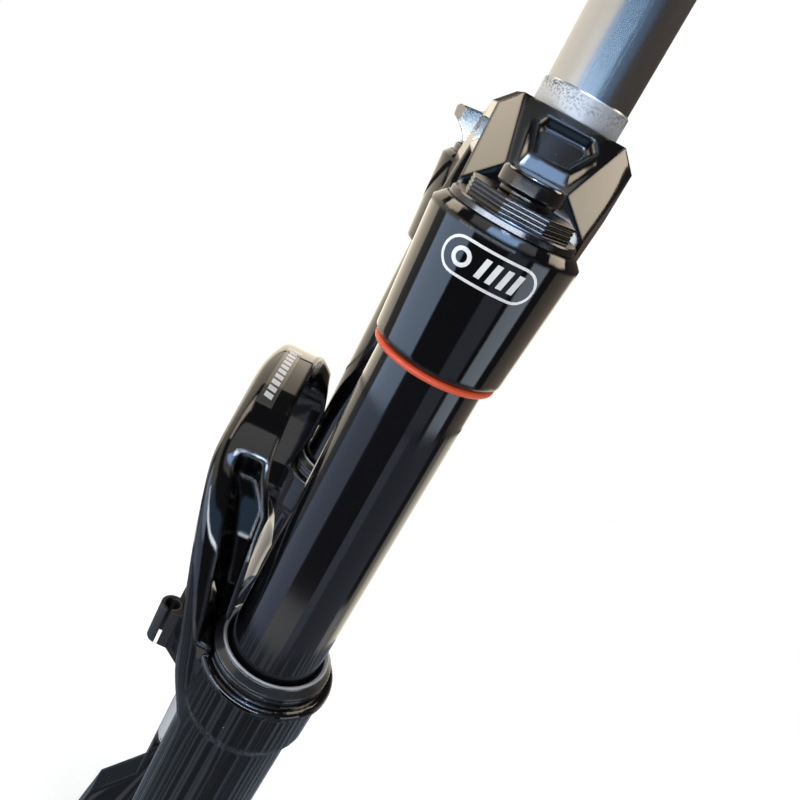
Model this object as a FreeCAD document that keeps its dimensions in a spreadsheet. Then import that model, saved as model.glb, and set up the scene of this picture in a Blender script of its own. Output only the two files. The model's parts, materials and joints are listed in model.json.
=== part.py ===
# Suspension fork for a 27.5 inch wheel: 32 mm stanchions, 100 mm of travel, straight 28.6 mm steerer.
#
# Frame: millimetres, +Z up along the steerer, origin on the steerer axis at the foot of the crown race seat.
# -Y is the front of the bicycle (the arch side), +X is the rider's left (the disc brake side).
# The uppers hang from the steerer, and the lowers slide up the stanchions by the travel.
import FreeCAD, Part
import math
import os
import re
import Sketcher

SIZES = {
    # steerer
    "steerer_d": 28.6,
    "steerer_wall": 2.6,
    "steerer_length": 230,
    "race_seat_d": 30,
    "race_seat_height": 7.5,
    "steerer_press_d": 29.6,
    "steerer_press": 24,
    # crown
    "hub_depth": 26,
    "hub_half_width": 16.5,
    "hub_front": 25.5,
    "hub_rear": 21.5,
    "hub_bevel": 6,
    "arm_drop": 18.5,
    "arm_reach": 47,
    "arm_front": 27,
    "arm_rear": 12,
    "arm_flat_front": 17.5,
    "arm_flat_rear": 1.5,
    "arm_root_depth": 58,
    "arm_pad_tilt": 4,
    "arm_pad_sink": 0.7,
    "pocket_depth": 2.5,
    "socket_drop": 29.5,
    "socket_length": 40,
    "socket_top_d": 42,
    "socket_bottom_d": 38,
    "socket_bevel": 2.4,
    "socket_lip": 1.2,
    # legs: where the two sliding tubes stand
    "leg_spacing": 132,
    "leg_offset": 11,
    "stanchion_d": 32,
    "stanchion_wall": 2,
    "stanchion_length": 315,
    "exposed_length": 113.5,
    "travel": 100,
    # lower casting
    "axle_drop": 485,
    "axle_offset": 42,
    "collar_d": 47,
    "collar_roll": 1.8,
    "collar_ledge": 3.2,
    "collar_waist_d": 44,
    "collar_height": 24.5,
    "collar_step": 3,
    "leg_top_d": 39,
    "leg_bottom_d": 38,
    "foot_rise": 9,
    "foot_round": 9,
    "foot_thickness": 14,
    "bushing_wall": 1,
    "slide_gap": 0.06,
    # arch
    "arch_rise": 64.5,
    "arch_reach": 47,
    "arch_thickness": 11,
    "arch_lip": 4,
    "channel_draft": 2,
    "socket_room": 1,
    # dropouts and disc brake posts
    "hub_gap": 100,
    "dropout_width": 16,
    "dropout_radius": 13,
    "axle_slot": 9.4,
    "nut_recess_d": 22,
    "nut_recess_depth": 1.5,
    "post_x": 55,
    "post_face_y": 20,
    "post_spacing": 74.2,
    "post_height": 19,
    "post_d": 16,
    "post_hole_d": 5,
    "post_hole_depth": 12,
    # seals and bushings
    "seal_height": 3.5,
    "seal_rim_wall": 2.2,
    "seal_flange_wall": 4.5,
    "seal_wall": 2.8,
    "seal_seat_depth": 11,
    "foam_height": 7,
    "bushing_height": 18,
    "lower_bushing_rise": 20,
    # leg tops
    "cap_flange_d": 35.4,
    "cap_flange": 2.2,
    "cap_plug_length": 14,
    "cap_octagon": 28,
    "cap_octagon_height": 4.1,
    "cap_groove": 0.3,
    "oring_cord": 2.4,
    "damper_cap_flange": 3.3,
    "valve_d": 7.8,
    "valve_height": 4.8,
    "valve_bore_d": 4.6,
    "valve_core_length": 8,
    "valve_cap_d": 17.4,
    "valve_cap_height": 6,
    "valve_cap_round": 1.3,
    "valve_cap_neck_d": 14.4,
    "valve_cap_neck": 1.2,
    "pin_d": 1.6,
    "pin_travel": 1.5,
    "spindle_d": 8,
    "spindle_length": 56,
    "turn_gap": 0.05,
    "press_gap": 0.02,
    "rest_gap": 0.3,
    "neck_d": 15,
    "valve_drop": 40,
    "lever_hub_d": 33,
    "lever_height": 15.4,
    "lever_fall": 2.4,
    "lever_reach": 24,
    "lever_width": 15,
    "lever_tip": 7,
    "lever_socket": 9,
    "lever_screw_d": 4,
    "lever_screw_head_d": 7,
    "lever_screw_head": 2.6,
    # inside the legs
    "clip_ledge": 1.5,
    "clip_height": 1.2,
    "clip_width": 0.8,
    "head_height": 18,
    "shaft_d": 12,
    "piston_height": 14,
    "piston_gap": 0.08,
    "port_d": 3,
    "port_circle_d": 20,
    "bumper_d": 31,
    "bumper_height": 15,
    "topout_d": 22,
    "topout_height": 10,
    "foot_bolt_d": 8,
    "foot_bolt_head_d": 13,
    "foot_bolt_head": 5,
    "foot_bolt_socket": 6,
    "foot_bolt_bite": 12,
    "foot_recess_d": 17,
    "foot_recess_depth": 4,
    "washer": 1.5,
    # travel ring on the left stanchion
    "ring_cord": 2.2,
    # brake hose guide on the left leg
    "hose_d": 5.2,
    "hose_wall": 1.4,
    "hose_guide_length": 15,
    "hose_x": 61,
    "hose_y": -47.4,
    "hose_z": -198,
    "hose_slit": 1.2,
    "hose_boss_width": 14,
    "hose_plate": 3,
    "hose_screw_d": 3,
    "hose_screw_head_d": 5,
    "hose_screw_head": 2,
    "hose_screw_length": 9,
}

V = FreeCAD.Vector
doc = FreeCAD.newDocument("SuspensionFork")
sheet = doc.addObject("Spreadsheet::Sheet", "Sizes")
for row, (alias, value) in enumerate(SIZES.items(), start=1):
    sheet.set("A%d" % row, alias)
    sheet.set("B%d" % row, str(value))
    sheet.setAlias("B%d" % row, alias)
doc.recompute()

pieces = []

# Places that several pieces share, as expressions of the sheet.
LEG_X = "leg_spacing / 2"
LEG_Y = "-leg_offset"
SOCKET_TOP = "-socket_drop"
SOCKET_FOOT = "-(socket_drop + socket_length)"
STANCHION_FOOT = "-(socket_drop + stanchion_length)"
SEAL_RIM = "-(socket_drop + socket_length + exposed_length)"
COLLAR_TOP = "-(socket_drop + socket_length + exposed_length + seal_height)"
FOOT = "(-axle_drop + foot_rise)"
FLOOR = "(%s + foot_thickness)" % FOOT
STANCHION_BORE = "(stanchion_d / 2 - stanchion_wall)"
SEAL_FOOT = "(%s - seal_seat_depth)" % COLLAR_TOP
CLIP_FOOT = "(%s + clip_ledge)" % STANCHION_FOOT
CLIP_TOP = "(%s + clip_height)" % CLIP_FOOT
HEAD_TOP = "(%s + head_height)" % CLIP_TOP
PISTON_FOOT = "(%s + rest_gap + topout_height)" % HEAD_TOP
PISTON_TOP = "(%s + piston_height)" % PISTON_FOOT
LIP = "(stanchion_d / 2 + slide_gap)"
LEG_BORE = "(stanchion_d / 2 + bushing_wall)"
SEAL_RIM_R = "(stanchion_d / 2 + seal_rim_wall)"
SEAL_FLANGE_R = "(stanchion_d / 2 + seal_flange_wall)"
SEAL_SEAT_R = "(stanchion_d / 2 + seal_wall)"
PLUG = "(%s - press_gap)" % STANCHION_BORE
PLUG_FOOT = "(%s - cap_plug_length)" % SOCKET_TOP
ORING_Z = "(%s - cap_plug_length / 2)" % SOCKET_TOP
AIR_CAP_TOP = "(%s + cap_flange + cap_octagon_height)" % SOCKET_TOP
VALVE_TOP = "(%s + valve_height)" % AIR_CAP_TOP
LEVER_FOOT = "(%s + damper_cap_flange + rest_gap)" % SOCKET_TOP
LEVER_TOP = "(%s + lever_height)" % LEVER_FOOT
SPINDLE_TOP = "(%s + lever_socket)" % LEVER_FOOT
FOOT_SEAT = "(%s + foot_recess_depth)" % FOOT
POST_Z = "(-axle_drop + post_height)"
HOSE_RING_R = "(hose_d / 2 + hose_wall)"
HOSE_SEAT = "(hose_y + %s)" % HOSE_RING_R
HOSE_INNER_X = "(hose_x + %s - hose_boss_width)" % HOSE_RING_R
HOSE_FOOT = "(hose_z - hose_guide_length / 2)"


def bound(text):
    """The expression with every size name pointing at its cell."""
    return re.sub(r"[a-z_]+", lambda word: ("Sizes." if word.group() in SIZES else "") + word.group(), text)


def value(text):
    """The number that an expression has now."""
    return float(sheet.evalExpression(bound(text)))


def place(thing, x="0", y="0", z="0"):
    for axis, text in (("x", x), ("y", y), ("z", z)):
        thing.setExpression("Placement.Base." + axis, bound(text))


def draw(sketch, points):
    """A closed outline through points tied to the sheet. A point marked "arc" lies midway on an arc."""
    spots = [V(value(point[0]), value(point[1]), 0) for point in points]
    bends = [len(point) == 3 for point in points]
    ends = [index for index in range(len(points)) if not bends[index]]
    joints = []
    for index, start in enumerate(ends):
        stop = ends[(index + 1) % len(ends)]
        via = (start + 1) % len(points)
        if not bends[via]:
            joints.append((sketch.addGeometry(Part.LineSegment(spots[start], spots[stop]), False), 1, 2))
            continue
        turns_left = (spots[via] - spots[start]).cross(spots[stop] - spots[via]).z > 0
        first, last = (start, stop) if turns_left else (stop, start)
        arc = sketch.addGeometry(Part.Arc(spots[first], spots[via], spots[last]), False)
        joints.append((arc, 1, 2) if turns_left else (arc, 2, 1))
        mark = sketch.addGeometry(Part.Point(spots[via]), True)
        pin(sketch, mark, 1, points[via])
        sketch.addConstraint(Sketcher.Constraint("PointOnObject", mark, 1, arc))
    for index, (line, start, _) in enumerate(joints):
        before, _, end = joints[index - 1]
        sketch.addConstraint(Sketcher.Constraint("Coincident", before, end, line, start))
        pin(sketch, line, start, points[ends[index]])


def pin(sketch, geometry, end, point):
    """Ties one end of a line to a pair of expressions, measured from the sketch's origin."""
    for kind, text in (("DistanceX", point[0]), ("DistanceY", point[1])):
        constraint = sketch.addConstraint(Sketcher.Constraint(kind, -1, 1, geometry, end, value(text)))
        sketch.setExpression("Constraints[%d]" % constraint, bound(text))


def body_sketch(body, name, role, points, offset=("0", "0", "0")):
    """A sketch on one of the body's own origin planes."""
    sketch = body.newObject("Sketcher::SketchObject", name)
    plane = [feature for feature in body.Origin.OriginFeatures if feature.Role == role][0]
    sketch.AttachmentSupport = [(plane, "")]
    sketch.MapMode = "FlatFace"
    for axis, text in zip("xyz", offset):
        sketch.setExpression("AttachmentOffset.Base." + axis, bound(text))
    draw(sketch, points)
    return sketch


def turned(label, profile, x="0", y="0"):
    """A round piece: its half profile of (radius, height) turned about the vertical axis at x, y."""
    body = doc.addObject("PartDesign::Body", label)
    sketch = body_sketch(body, label + "_profile", "XZ_Plane", profile)
    turn = body.newObject("PartDesign::Revolution", label + "_turn")
    turn.Profile = sketch
    turn.ReferenceAxis = (sketch, ["V_Axis"])
    turn.Angle = 360
    body.Tip = turn
    place(body, x, y)
    pieces.append(body)
    return body


def ring(label, inner, outer, low, high, x="0", y="0"):
    """A plain ring between two radii and two heights."""
    return turned(label, [(inner, low), (outer, low), (outer, high), (inner, high)], x, y)


FRONT = FreeCAD.Rotation(V(1, 0, 0), 90)
SIDE = FreeCAD.Rotation(V(1, 1, 1), 120)
ABOVE = FreeCAD.Rotation()


def outline(name, facing, points, x="0", y="0", z="0"):
    """A free sketch seen from the front (x, z), from the side (y, z) or from above (x, y)."""
    sketch = doc.addObject("Sketcher::SketchObject", name)
    sketch.Placement = FreeCAD.Placement(V(), facing)
    place(sketch, x, y, z)
    draw(sketch, points)
    return sketch


def extruded(name, sketch, length, both_ways=True):
    block = doc.addObject("Part::Extrusion", name)
    block.Base = sketch
    block.DirMode = "Normal"
    block.Solid = True
    block.Symmetric = both_ways
    block.setExpression("LengthFwd", bound(length))
    return block


def lofted(name, sections, ruled=True):
    skin = doc.addObject("Part::Loft", name)
    skin.Sections = sections
    skin.Solid = True
    skin.Ruled = ruled
    return skin


def spun(name, profile, x, y):
    """A solid of revolution about a vertical axis, as a part of a larger casting."""
    sketch = outline(name + "_profile", FRONT, profile, x, y)
    turn = doc.addObject("Part::Revolution", name)
    turn.Source = sketch
    turn.Axis = V(0, 0, 1)
    turn.setExpression("Base.x", bound(x))
    turn.setExpression("Base.y", bound(y))
    turn.Angle = 360
    turn.Solid = True
    return turn


def mirrored(name, source):
    """The same form on the other leg."""
    copy = doc.addObject("Part::Mirroring", name)
    copy.Source = source
    copy.Normal = V(1, 0, 0)
    return copy


def joined(name, forms):
    union = doc.addObject("Part::MultiFuse", name)
    union.Shapes = forms
    union.Refine = True
    return union


def shared(name, first, second):
    both = doc.addObject("Part::Common", name)
    both.Base = first
    both.Tool = second
    return both


def minus(name, base, tool):
    rest = doc.addObject("Part::Cut", name)
    rest.Base = base
    rest.Tool = tool
    rest.Refine = True
    return rest


def rod(name, diameter, length, x, y, z, direction=V(0, 0, 1)):
    """A cylinder from a point along a direction."""
    cylinder = doc.addObject("Part::Cylinder", name)
    cylinder.setExpression("Radius", bound("(%s) / 2" % diameter))
    cylinder.setExpression("Height", bound(length))
    cylinder.Placement = FreeCAD.Placement(V(), FreeCAD.Rotation(V(0, 0, 1), direction))
    place(cylinder, x, y, z)
    return cylinder


def box(name, length, width, height, x, y, z):
    block = doc.addObject("Part::Box", name)
    for side, text in (("Length", length), ("Width", width), ("Height", height)):
        block.setExpression(side, bound(text))
    place(block, x, y, z)
    return block


def make_steerer():
    """Straight tube, with the swelled crown race seat at its foot, pressed into the crown."""
    bore = "(steerer_d / 2 - steerer_wall)"
    turned("steerer_tube", [
        (bore, "-steerer_press"), ("steerer_press_d / 2", "-steerer_press"), ("steerer_press_d / 2", "0"),
        ("race_seat_d / 2", "0"), ("race_seat_d / 2", "race_seat_height"),
        ("steerer_d / 2", "race_seat_height + 0.6"), ("steerer_d / 2", "steerer_length - 1"),
        ("steerer_d / 2 - 1", "steerer_length"), (bore, "steerer_length")])


def crown_section(name, x, front, rear, flat_front, flat_rear, top, side, low, foot):
    """Cross-section of the crown at x: flat top, leaning shoulders, upright flanks, narrower underside."""
    return outline(name, SIDE, [
        ("-" + flat_front, top), (flat_rear, top), (rear, side), (rear, low), (rear + " - 4", foot),
        ("-%s + 4" % front, foot), ("-" + front, low), ("-" + front, side)], x=x)


# Outlines on the falling top of the left arm. Each corner is its place down the slope (of the slope's length)
# and its y in millimetres. The two levels of a form have the same corners.
PAD_FOOT = [(0.224, -16), (0.99, -15), (0.942, 0.6), (0.524, 7.6), (0.224, 9)]
PAD_TOP = [(0.224, -14.6), (0.802, -13.1), (0.813, -0.1), (0.429, 6.8), (0.224, 7.6)]
POCKET_MOUTH = [(0.101, -11.4), (0.261, -14), (0.765, -12.2), (0.737, -0.1), (0.278, 8.1), (0.09, 6.2)]
POCKET_FLOOR = [(0.196, -9.5), (0.308, -11), (0.684, -10), (0.664, -2), (0.294, 5), (0.182, 3.8)]


def arm_level(name, corners, height, tilt="0 deg"):
    """A sketch at a height over the arm's top, which may lean less than the arm by a tilt in degrees."""
    run = "(arm_reach - hub_half_width)"
    lean = "atan(arm_drop / %s)" % run
    level = outline(name, FreeCAD.Rotation(V(0, 1, 0), 30), [
        ("%s * %s / cos(%s)" % (share, run, lean), str(across)) for share, across in corners])
    level.setExpression("Placement.Rotation.Angle", bound("%s - %s" % (lean, tilt)))
    place(level, "hub_half_width + (%s) * sin(%s)" % (height, lean), "0", "(%s) * cos(%s)" % (height, lean))
    return level


def arm_top_forms():
    """The low pad that rises towards the end of an arm, and the pocket with leaning walls sunk into it."""
    pad = lofted("pad_left", [
        arm_level("pad_foot", PAD_FOOT, "-arm_pad_sink / 2"),
        arm_level("pad_top", PAD_TOP, "-arm_pad_sink", "arm_pad_tilt * 1 deg")])
    pocket = lofted("pocket_left", [
        arm_level("pocket_mouth", POCKET_MOUTH, "2"),
        arm_level("pocket_floor", POCKET_FLOOR, "-pocket_depth")])
    return pad, pocket


def make_crown():
    """Forged crown: faceted hub, two falling arms with open pockets, two tapered leg sockets."""
    root = ["hub_front", "hub_rear", "(hub_front - hub_bevel)", "(hub_rear - hub_bevel)",
            "0", "-hub_bevel", "-hub_depth + 4", "-hub_depth"]
    end = ["arm_front", "arm_rear", "arm_flat_front", "arm_flat_rear",
           "-arm_drop", "-arm_drop - 9", "-arm_root_depth + 5", "-arm_root_depth"]
    hub = extruded("hub_block", crown_section("hub_section", "0", *root), "2 * hub_half_width")
    arm = lofted("arm_left", [
        crown_section("arm_root", "hub_half_width", *root), crown_section("arm_end", "arm_reach", *end)])
    socket = spun("socket_left", [
        ("0", SOCKET_TOP), ("socket_top_d / 2 - socket_bevel", SOCKET_TOP),
        ("socket_top_d / 2", SOCKET_TOP + " - socket_bevel"),
        ("socket_bottom_d / 2", SOCKET_FOOT + " + socket_lip"),
        ("socket_bottom_d / 2 - socket_lip", SOCKET_FOOT), ("0", SOCKET_FOOT)], LEG_X, LEG_Y)
    pad, pocket = arm_top_forms()
    forging = joined("crown_forging", [
        hub, arm, mirrored("arm_right", arm), pad, mirrored("pad_right", pad),
        socket, mirrored("socket_right", socket)])
    holes = joined("crown_holes", [
        pocket, mirrored("pocket_right", pocket),
        rod("steerer_hole", "steerer_press_d", "2 * hub_depth", "0", "0", "-3 / 2 * hub_depth"),
        rod("left_hole", "stanchion_d", "2 * socket_length", LEG_X, LEG_Y, SOCKET_FOOT + " - 1"),
        rod("right_hole", "stanchion_d", "2 * socket_length", "-" + LEG_X, LEG_Y, SOCKET_FOOT + " - 1")])
    pieces.append(minus("crown", forging, holes))


def make_stanchions():
    """Anodised tubes pressed into the crown, each with a circlip groove at its foot."""
    groove = "(%s + clip_width)" % STANCHION_BORE
    for side, x in SIDES:
        turned("stanchion_" + side, [
            (STANCHION_BORE, STANCHION_FOOT), ("stanchion_d / 2 - 0.5", STANCHION_FOOT),
            ("stanchion_d / 2", STANCHION_FOOT + " + 0.5"), ("stanchion_d / 2", SOCKET_TOP),
            (STANCHION_BORE, SOCKET_TOP), (STANCHION_BORE, CLIP_TOP), (groove, CLIP_TOP),
            (groove, CLIP_FOOT),
            (STANCHION_BORE, CLIP_FOOT)], x, LEG_Y)


# The arch's run from the foot of its left leg to the middle. Each row is one cross-section: its tilt in
# degrees, its outer corner across (of the leg's distance) and up (of the rise), its front and rear faces
# (of the reach), its thickness and its rolled lip (of their own sizes at the middle).
ARCH_SECTIONS = [
    (0, 1.106, -0.674, 0.362, 0.064, 1.27, 0.5),
    (0, 1.118, -0.6, 0.404, 0.055, 1.45, 0.8),
    (0, 1.137, -0.488, 0.466, 0.04, 1.73, 1.25),
    (0, 1.167, -0.302, 0.57, 0.019, 2.18, 2.0),
    (0, 1.167, -0.15, 0.626, 0.074, 2.1, 2.05),
    (0, 1.16, -0.003, 0.679, 0.128, 2.05, 2.1),
    (0, 1.135, 0.2, 0.747, 0.223, 1.92, 1.9),
    (3, 1.075, 0.475, 0.845, 0.347, 1.7, 1.6),
    (14, 0.965, 0.662, 0.915, 0.436, 1.47, 1.2),
    (42, 0.835, 0.795, 0.964, 0.553, 1.38, 1.1),
    (77, 0.62, 0.9, 0.979, 0.602, 1.14, 1.0),
    (90, 0.333, 0.97, 0.989, 0.617, 1.0, 1.0),
    (90, 0, 1.0, 1.0, 0.617, 1.0, 1.0),
]
# The channel in the outer side of an arch leg, from the collar up. Each row is one cross-section: its tilt
# and place as above, its front and rear walls (of the reach), and its depth (of the thickness).
CHANNEL_SECTIONS = [
    (0, 1.16, 0.0, 0.509, 0.149, 1.55),
    (0, 1.135, 0.2, 0.557, 0.417, 1.36),
    (3, 1.075, 0.475, 0.643, 0.462, 1.14),
    (14, 0.965, 0.662, 0.726, 0.489, 1.0),
    (42, 0.835, 0.795, 0.806, 0.609, 0.75),
    (58, 0.77, 0.832, 0.806, 0.638, 0.05),
]


def arch_plane(name, tilt, across, up, points):
    """A sketch square to the arch's run: x along the bicycle, y outwards from the arch's outer face."""
    angle = math.radians(tilt)
    outwards = V(math.cos(angle), 0, math.sin(angle))
    sketch = doc.addObject("Sketcher::SketchObject", name)
    sketch.Placement = FreeCAD.Placement(V(), FreeCAD.Rotation(V(0, 1, 0), outwards,
                                                               V(0, 1, 0).cross(outwards)))
    place(sketch, "%s * %s" % (LEG_X, across), "0", "%s + %s * arch_rise" % (COLLAR_TOP, up))
    draw(sketch, points)
    return sketch


def reached(share):
    """The y of a place in the arch's reach in front of the legs."""
    return "(%s - %s * arch_reach)" % (LEG_Y, share)


def arch():
    """The whole arch in one smooth skin, its front outer corner rolled over and its other corners crisp."""
    sections = []
    rows = ARCH_SECTIONS + [(180 - row[0], -row[1]) + row[2:] for row in reversed(ARCH_SECTIONS[:-1])]
    for index, (tilt, across, up, front, rear, thick, lip) in enumerate(rows):
        face, back = reached(front), reached(rear)
        inner, roll = "-%s * arch_thickness" % thick, "%s * arch_lip" % lip
        sections.append(arch_plane("arch_section_%d" % index, tilt, across, up, [
            (face, inner), (face, "-1.1 * " + roll),
            ("%s + 0.29 * %s" % (face, roll), "-0.32 * " + roll, "arc"),
            ("%s + %s" % (face, roll), "0"), (back, "0"), (back, inner)]))
    return lofted("arch", sections, ruled=False)


def arch_channel():
    """The open channel behind the front rim of the left arch leg, with leaning walls."""
    sections = []
    for index, (tilt, across, up, front, rear, depth) in enumerate(CHANNEL_SECTIONS):
        face, back, floor = reached(front), reached(rear), "-%s * arch_thickness" % depth
        sections.append(arch_plane("channel_section_%d" % index, tilt, across, up, [
            (face + " + channel_draft", floor), (face, "0"), (face, "arch_lip"), (back, "arch_lip"),
            (back, "0"), (back + " - channel_draft / 3", floor)]))
    return lofted("channel_left", sections)


def leg_form():
    """Outside of one leg: collar with a rolled ledge under its neck, slim tapering leg, rounded foot."""
    foot_r = "(leg_bottom_d / 2)"
    rim, waist, ledge = "collar_d / 2", "collar_waist_d / 2", "(%s - collar_ledge)" % COLLAR_TOP
    neck = COLLAR_TOP + " - collar_height"
    return spun("leg_left", [
        ("0", FOOT), (foot_r + " - foot_round", FOOT),
        (foot_r + " - foot_round * 0.2929", FOOT + " + foot_round * 0.2929", "arc"),
        (foot_r, FOOT + " + foot_round"),
        ("leg_top_d / 2", neck + " - collar_step"), (waist + " - 1", neck), (waist, neck + " + 1"),
        (waist, ledge + " - 2 * collar_roll"), (rim, ledge + " - 1.5 * collar_roll"),
        (rim, ledge + " - collar_roll"),
        (rim + " - collar_roll * 0.2929", ledge + " - collar_roll * 0.2929", "arc"),
        (rim + " - collar_roll", ledge),
        (SEAL_FLANGE_R, ledge), (SEAL_FLANGE_R, COLLAR_TOP), ("0", COLLAR_TOP)], LEG_X, LEG_Y)


def leg_hollow():
    """Inside of one leg: seal seat, bore, foot bolt hole, and room for the crown's socket over them."""
    gutter = "(collar_d / 2 - collar_roll)"
    return spun("hollow_left", [
        ("0", FOOT + " - 1"), ("foot_recess_d / 2", FOOT + " - 1"),
        ("foot_recess_d / 2", FOOT + " + foot_recess_depth"),
        ("foot_bolt_d / 2 + 0.2", FOOT + " + foot_recess_depth"), ("foot_bolt_d / 2 + 0.2", FLOOR),
        (LEG_BORE, FLOOR), (LEG_BORE, SEAL_FOOT), (SEAL_SEAT_R, SEAL_FOOT), (SEAL_SEAT_R, COLLAR_TOP),
        (gutter, COLLAR_TOP),
        ("socket_bottom_d / 2 + socket_room", SOCKET_FOOT + " - travel - 2 * socket_room"),
        ("socket_top_d / 2 + socket_room", SOCKET_TOP + " - travel"),
        ("socket_top_d / 2 + socket_room", COLLAR_TOP + " + 2 * arch_rise"),
        ("0", COLLAR_TOP + " + 2 * arch_rise")], LEG_X, LEG_Y)


def collar_gutter():
    """The ring of air over the collar's ledge, which parts the arch from the seal's neck."""
    gutter, ledge = "(collar_d / 2 - collar_roll)", "(%s - collar_ledge)" % COLLAR_TOP
    return spun("gutter_left", [
        (SEAL_FLANGE_R, ledge), (gutter, ledge), (gutter, COLLAR_TOP + " + 0.5"),
        (SEAL_FLANGE_R, COLLAR_TOP + " + 0.5")], LEG_X, LEG_Y)


def dropout():
    """The web that comes out of a leg's front, sweeps forward and ends round the axle."""
    return extruded("dropout_left", outline("dropout_side_view", SIDE, [
        (LEG_Y + " - 12", "-axle_drop + 95"), (LEG_Y + " - leg_bottom_d / 2 + 0.5", "-axle_drop + 86"),
        (LEG_Y + " - leg_bottom_d / 2 + 0.2", "-axle_drop + 63"),
        ("-axle_offset + 4", "-axle_drop + 51", "arc"),
        ("-axle_offset - dropout_radius + 5", "-axle_drop + 34"),
        ("-axle_offset - dropout_radius", "-axle_drop"),
        ("-axle_offset", "-axle_drop - dropout_radius", "arc"),
        ("-axle_offset + dropout_radius", "-axle_drop"),
        ("-axle_offset + dropout_radius + 3", "-axle_drop + 9"), (LEG_Y + " - 8", "-axle_drop + 17")],
        x="hub_gap / 2 + dropout_width / 2"), "dropout_width")


def axle_slots():
    """The open slot that the wheel's axle drops out of, and the shallow seat of its nut."""
    slot = extruded("axle_slot_form", outline("axle_slot_side_view", SIDE, [
        ("-axle_offset - axle_slot / 2", "-axle_drop"),
        ("-axle_offset", "-axle_drop + axle_slot / 2", "arc"),
        ("-axle_offset + axle_slot / 2", "-axle_drop"),
        ("-axle_offset + axle_slot / 2", "-axle_drop - 2 * dropout_radius"),
        ("-axle_offset - axle_slot / 2", "-axle_drop - 2 * dropout_radius")]), "2 * leg_spacing")
    seat = rod("nut_seat_left", "nut_recess_d", "leg_spacing",
               "hub_gap / 2 + dropout_width - nut_recess_depth",
               "-axle_offset", "-axle_drop", V(1, 0, 0))
    return [slot, seat, mirrored("nut_seat_right", seat)]


def brake_posts():
    """Two posts behind the left leg for a disc brake calliper, and their threaded holes."""
    posts, holes = [], []
    for name, z in (("low", POST_Z), ("high", POST_Z + " + post_spacing")):
        posts.append(rod("post_" + name, "post_d", "post_face_y + leg_offset", "post_x", "post_face_y", z,
                         V(0, -1, 0)))
        holes.append(rod("post_hole_" + name, "post_hole_d", "post_hole_depth", "post_x", "post_face_y", z,
                         V(0, -1, 0)))
    return posts, holes


def make_lower_legs(boss_hole):
    """One magnesium casting: two legs joined by the arch, with dropouts, brake posts and hose guide boss."""
    leg, arm, hollow, gutter, channel = leg_form(), dropout(), leg_hollow(), collar_gutter(), arch_channel()
    posts, post_holes = brake_posts()
    boss = extruded("hose_boss", outline("hose_boss_side_view", SIDE, [
        (HOSE_SEAT, HOSE_FOOT), (HOSE_SEAT, HOSE_FOOT + " + hose_guide_length"),
        (LEG_Y + " - 17", HOSE_FOOT + " + hose_guide_length"), (LEG_Y + " - 17", HOSE_FOOT + " - 14")],
        x=HOSE_INNER_X + " + hose_boss_width / 2"), "hose_boss_width")
    solid_forms = [arch(), leg, mirrored("leg_right", leg), arm, mirrored("dropout_right", arm)]
    hollow_forms = [hollow, mirrored("hollow_right", hollow), gutter, mirrored("gutter_right", gutter),
                    channel, mirrored("channel_right", channel)]
    casting = joined("casting", solid_forms + posts + [boss])
    cuts = joined("casting_cuts", hollow_forms + axle_slots() + post_holes + [boss_hole])
    pieces.append(minus("lower_legs", casting, cuts))


def make_seals_and_bushings():
    """In each leg, from the top: dust seal with a wiping rim, oiled foam ring, two sliding bushings."""
    foam_foot = SEAL_FOOT + " - foam_height"
    lower_foot = STANCHION_FOOT + " + lower_bushing_rise"
    for side, x in SIDES:
        turned("dust_seal_" + side, [
            (LIP, SEAL_FOOT), (SEAL_SEAT_R, SEAL_FOOT), (SEAL_SEAT_R, COLLAR_TOP),
            (SEAL_FLANGE_R, COLLAR_TOP), (SEAL_FLANGE_R, COLLAR_TOP + " + 0.6"),
            (SEAL_RIM_R + " + 0.4", SEAL_RIM + " - 1"), (SEAL_RIM_R, SEAL_RIM),
            (LIP + " + 0.8", SEAL_RIM + " - 0.8"), (LIP, SEAL_RIM + " - 1.8")], x, LEG_Y)
        ring("foam_ring_" + side, "stanchion_d / 2 + rest_gap", LEG_BORE, foam_foot, SEAL_FOOT, x, LEG_Y)
        ring("upper_bushing_" + side, LIP, LEG_BORE, foam_foot + " - bushing_height", foam_foot, x, LEG_Y)
        ring("lower_bushing_" + side, LIP, LEG_BORE, lower_foot, lower_foot + " + bushing_height", x, LEG_Y)


def torus(label, large, small, x, y, z):
    """A rubber ring: the circle that its cord runs on, and the cord's own radius."""
    loop = doc.addObject("Part::Torus", label)
    loop.setExpression("Radius1", bound(large))
    loop.setExpression("Radius2", bound(small))
    place(loop, x, y, z)
    pieces.append(loop)


def plug(flange, bore):
    """Half profile of a leg cap: plug with a ring groove in the stanchion, flange on the crown's socket."""
    groove = "(%s - oring_cord)" % STANCHION_BORE
    low, high = "(%s - oring_cord * 0.6)" % ORING_Z, "(%s + oring_cord * 0.6)" % ORING_Z
    top = "%s + %s" % (SOCKET_TOP, flange)
    return [(bore, PLUG_FOOT), (PLUG, PLUG_FOOT), (PLUG, low), (groove, low), (groove, high), (PLUG, high),
            (PLUG, SOCKET_TOP), ("cap_flange_d / 2", SOCKET_TOP), ("cap_flange_d / 2", top + " - 0.5"),
            ("cap_flange_d / 2 - 0.5", top), (bore, top)]


def octagon(name, across_flats, height, z):
    """An eight-sided slab on the left leg's axis, with flats to the front and the side."""
    prism = doc.addObject("Part::Prism", name)
    prism.Polygon = 8
    prism.setExpression("Circumradius", bound("(%s) / 2 / cos(22.5)" % across_flats))
    prism.setExpression("Height", bound(height))
    prism.Placement = FreeCAD.Placement(V(), FreeCAD.Rotation(V(0, 0, 1), 22.5))
    place(prism, LEG_X, LEG_Y, z)
    return prism


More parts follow.
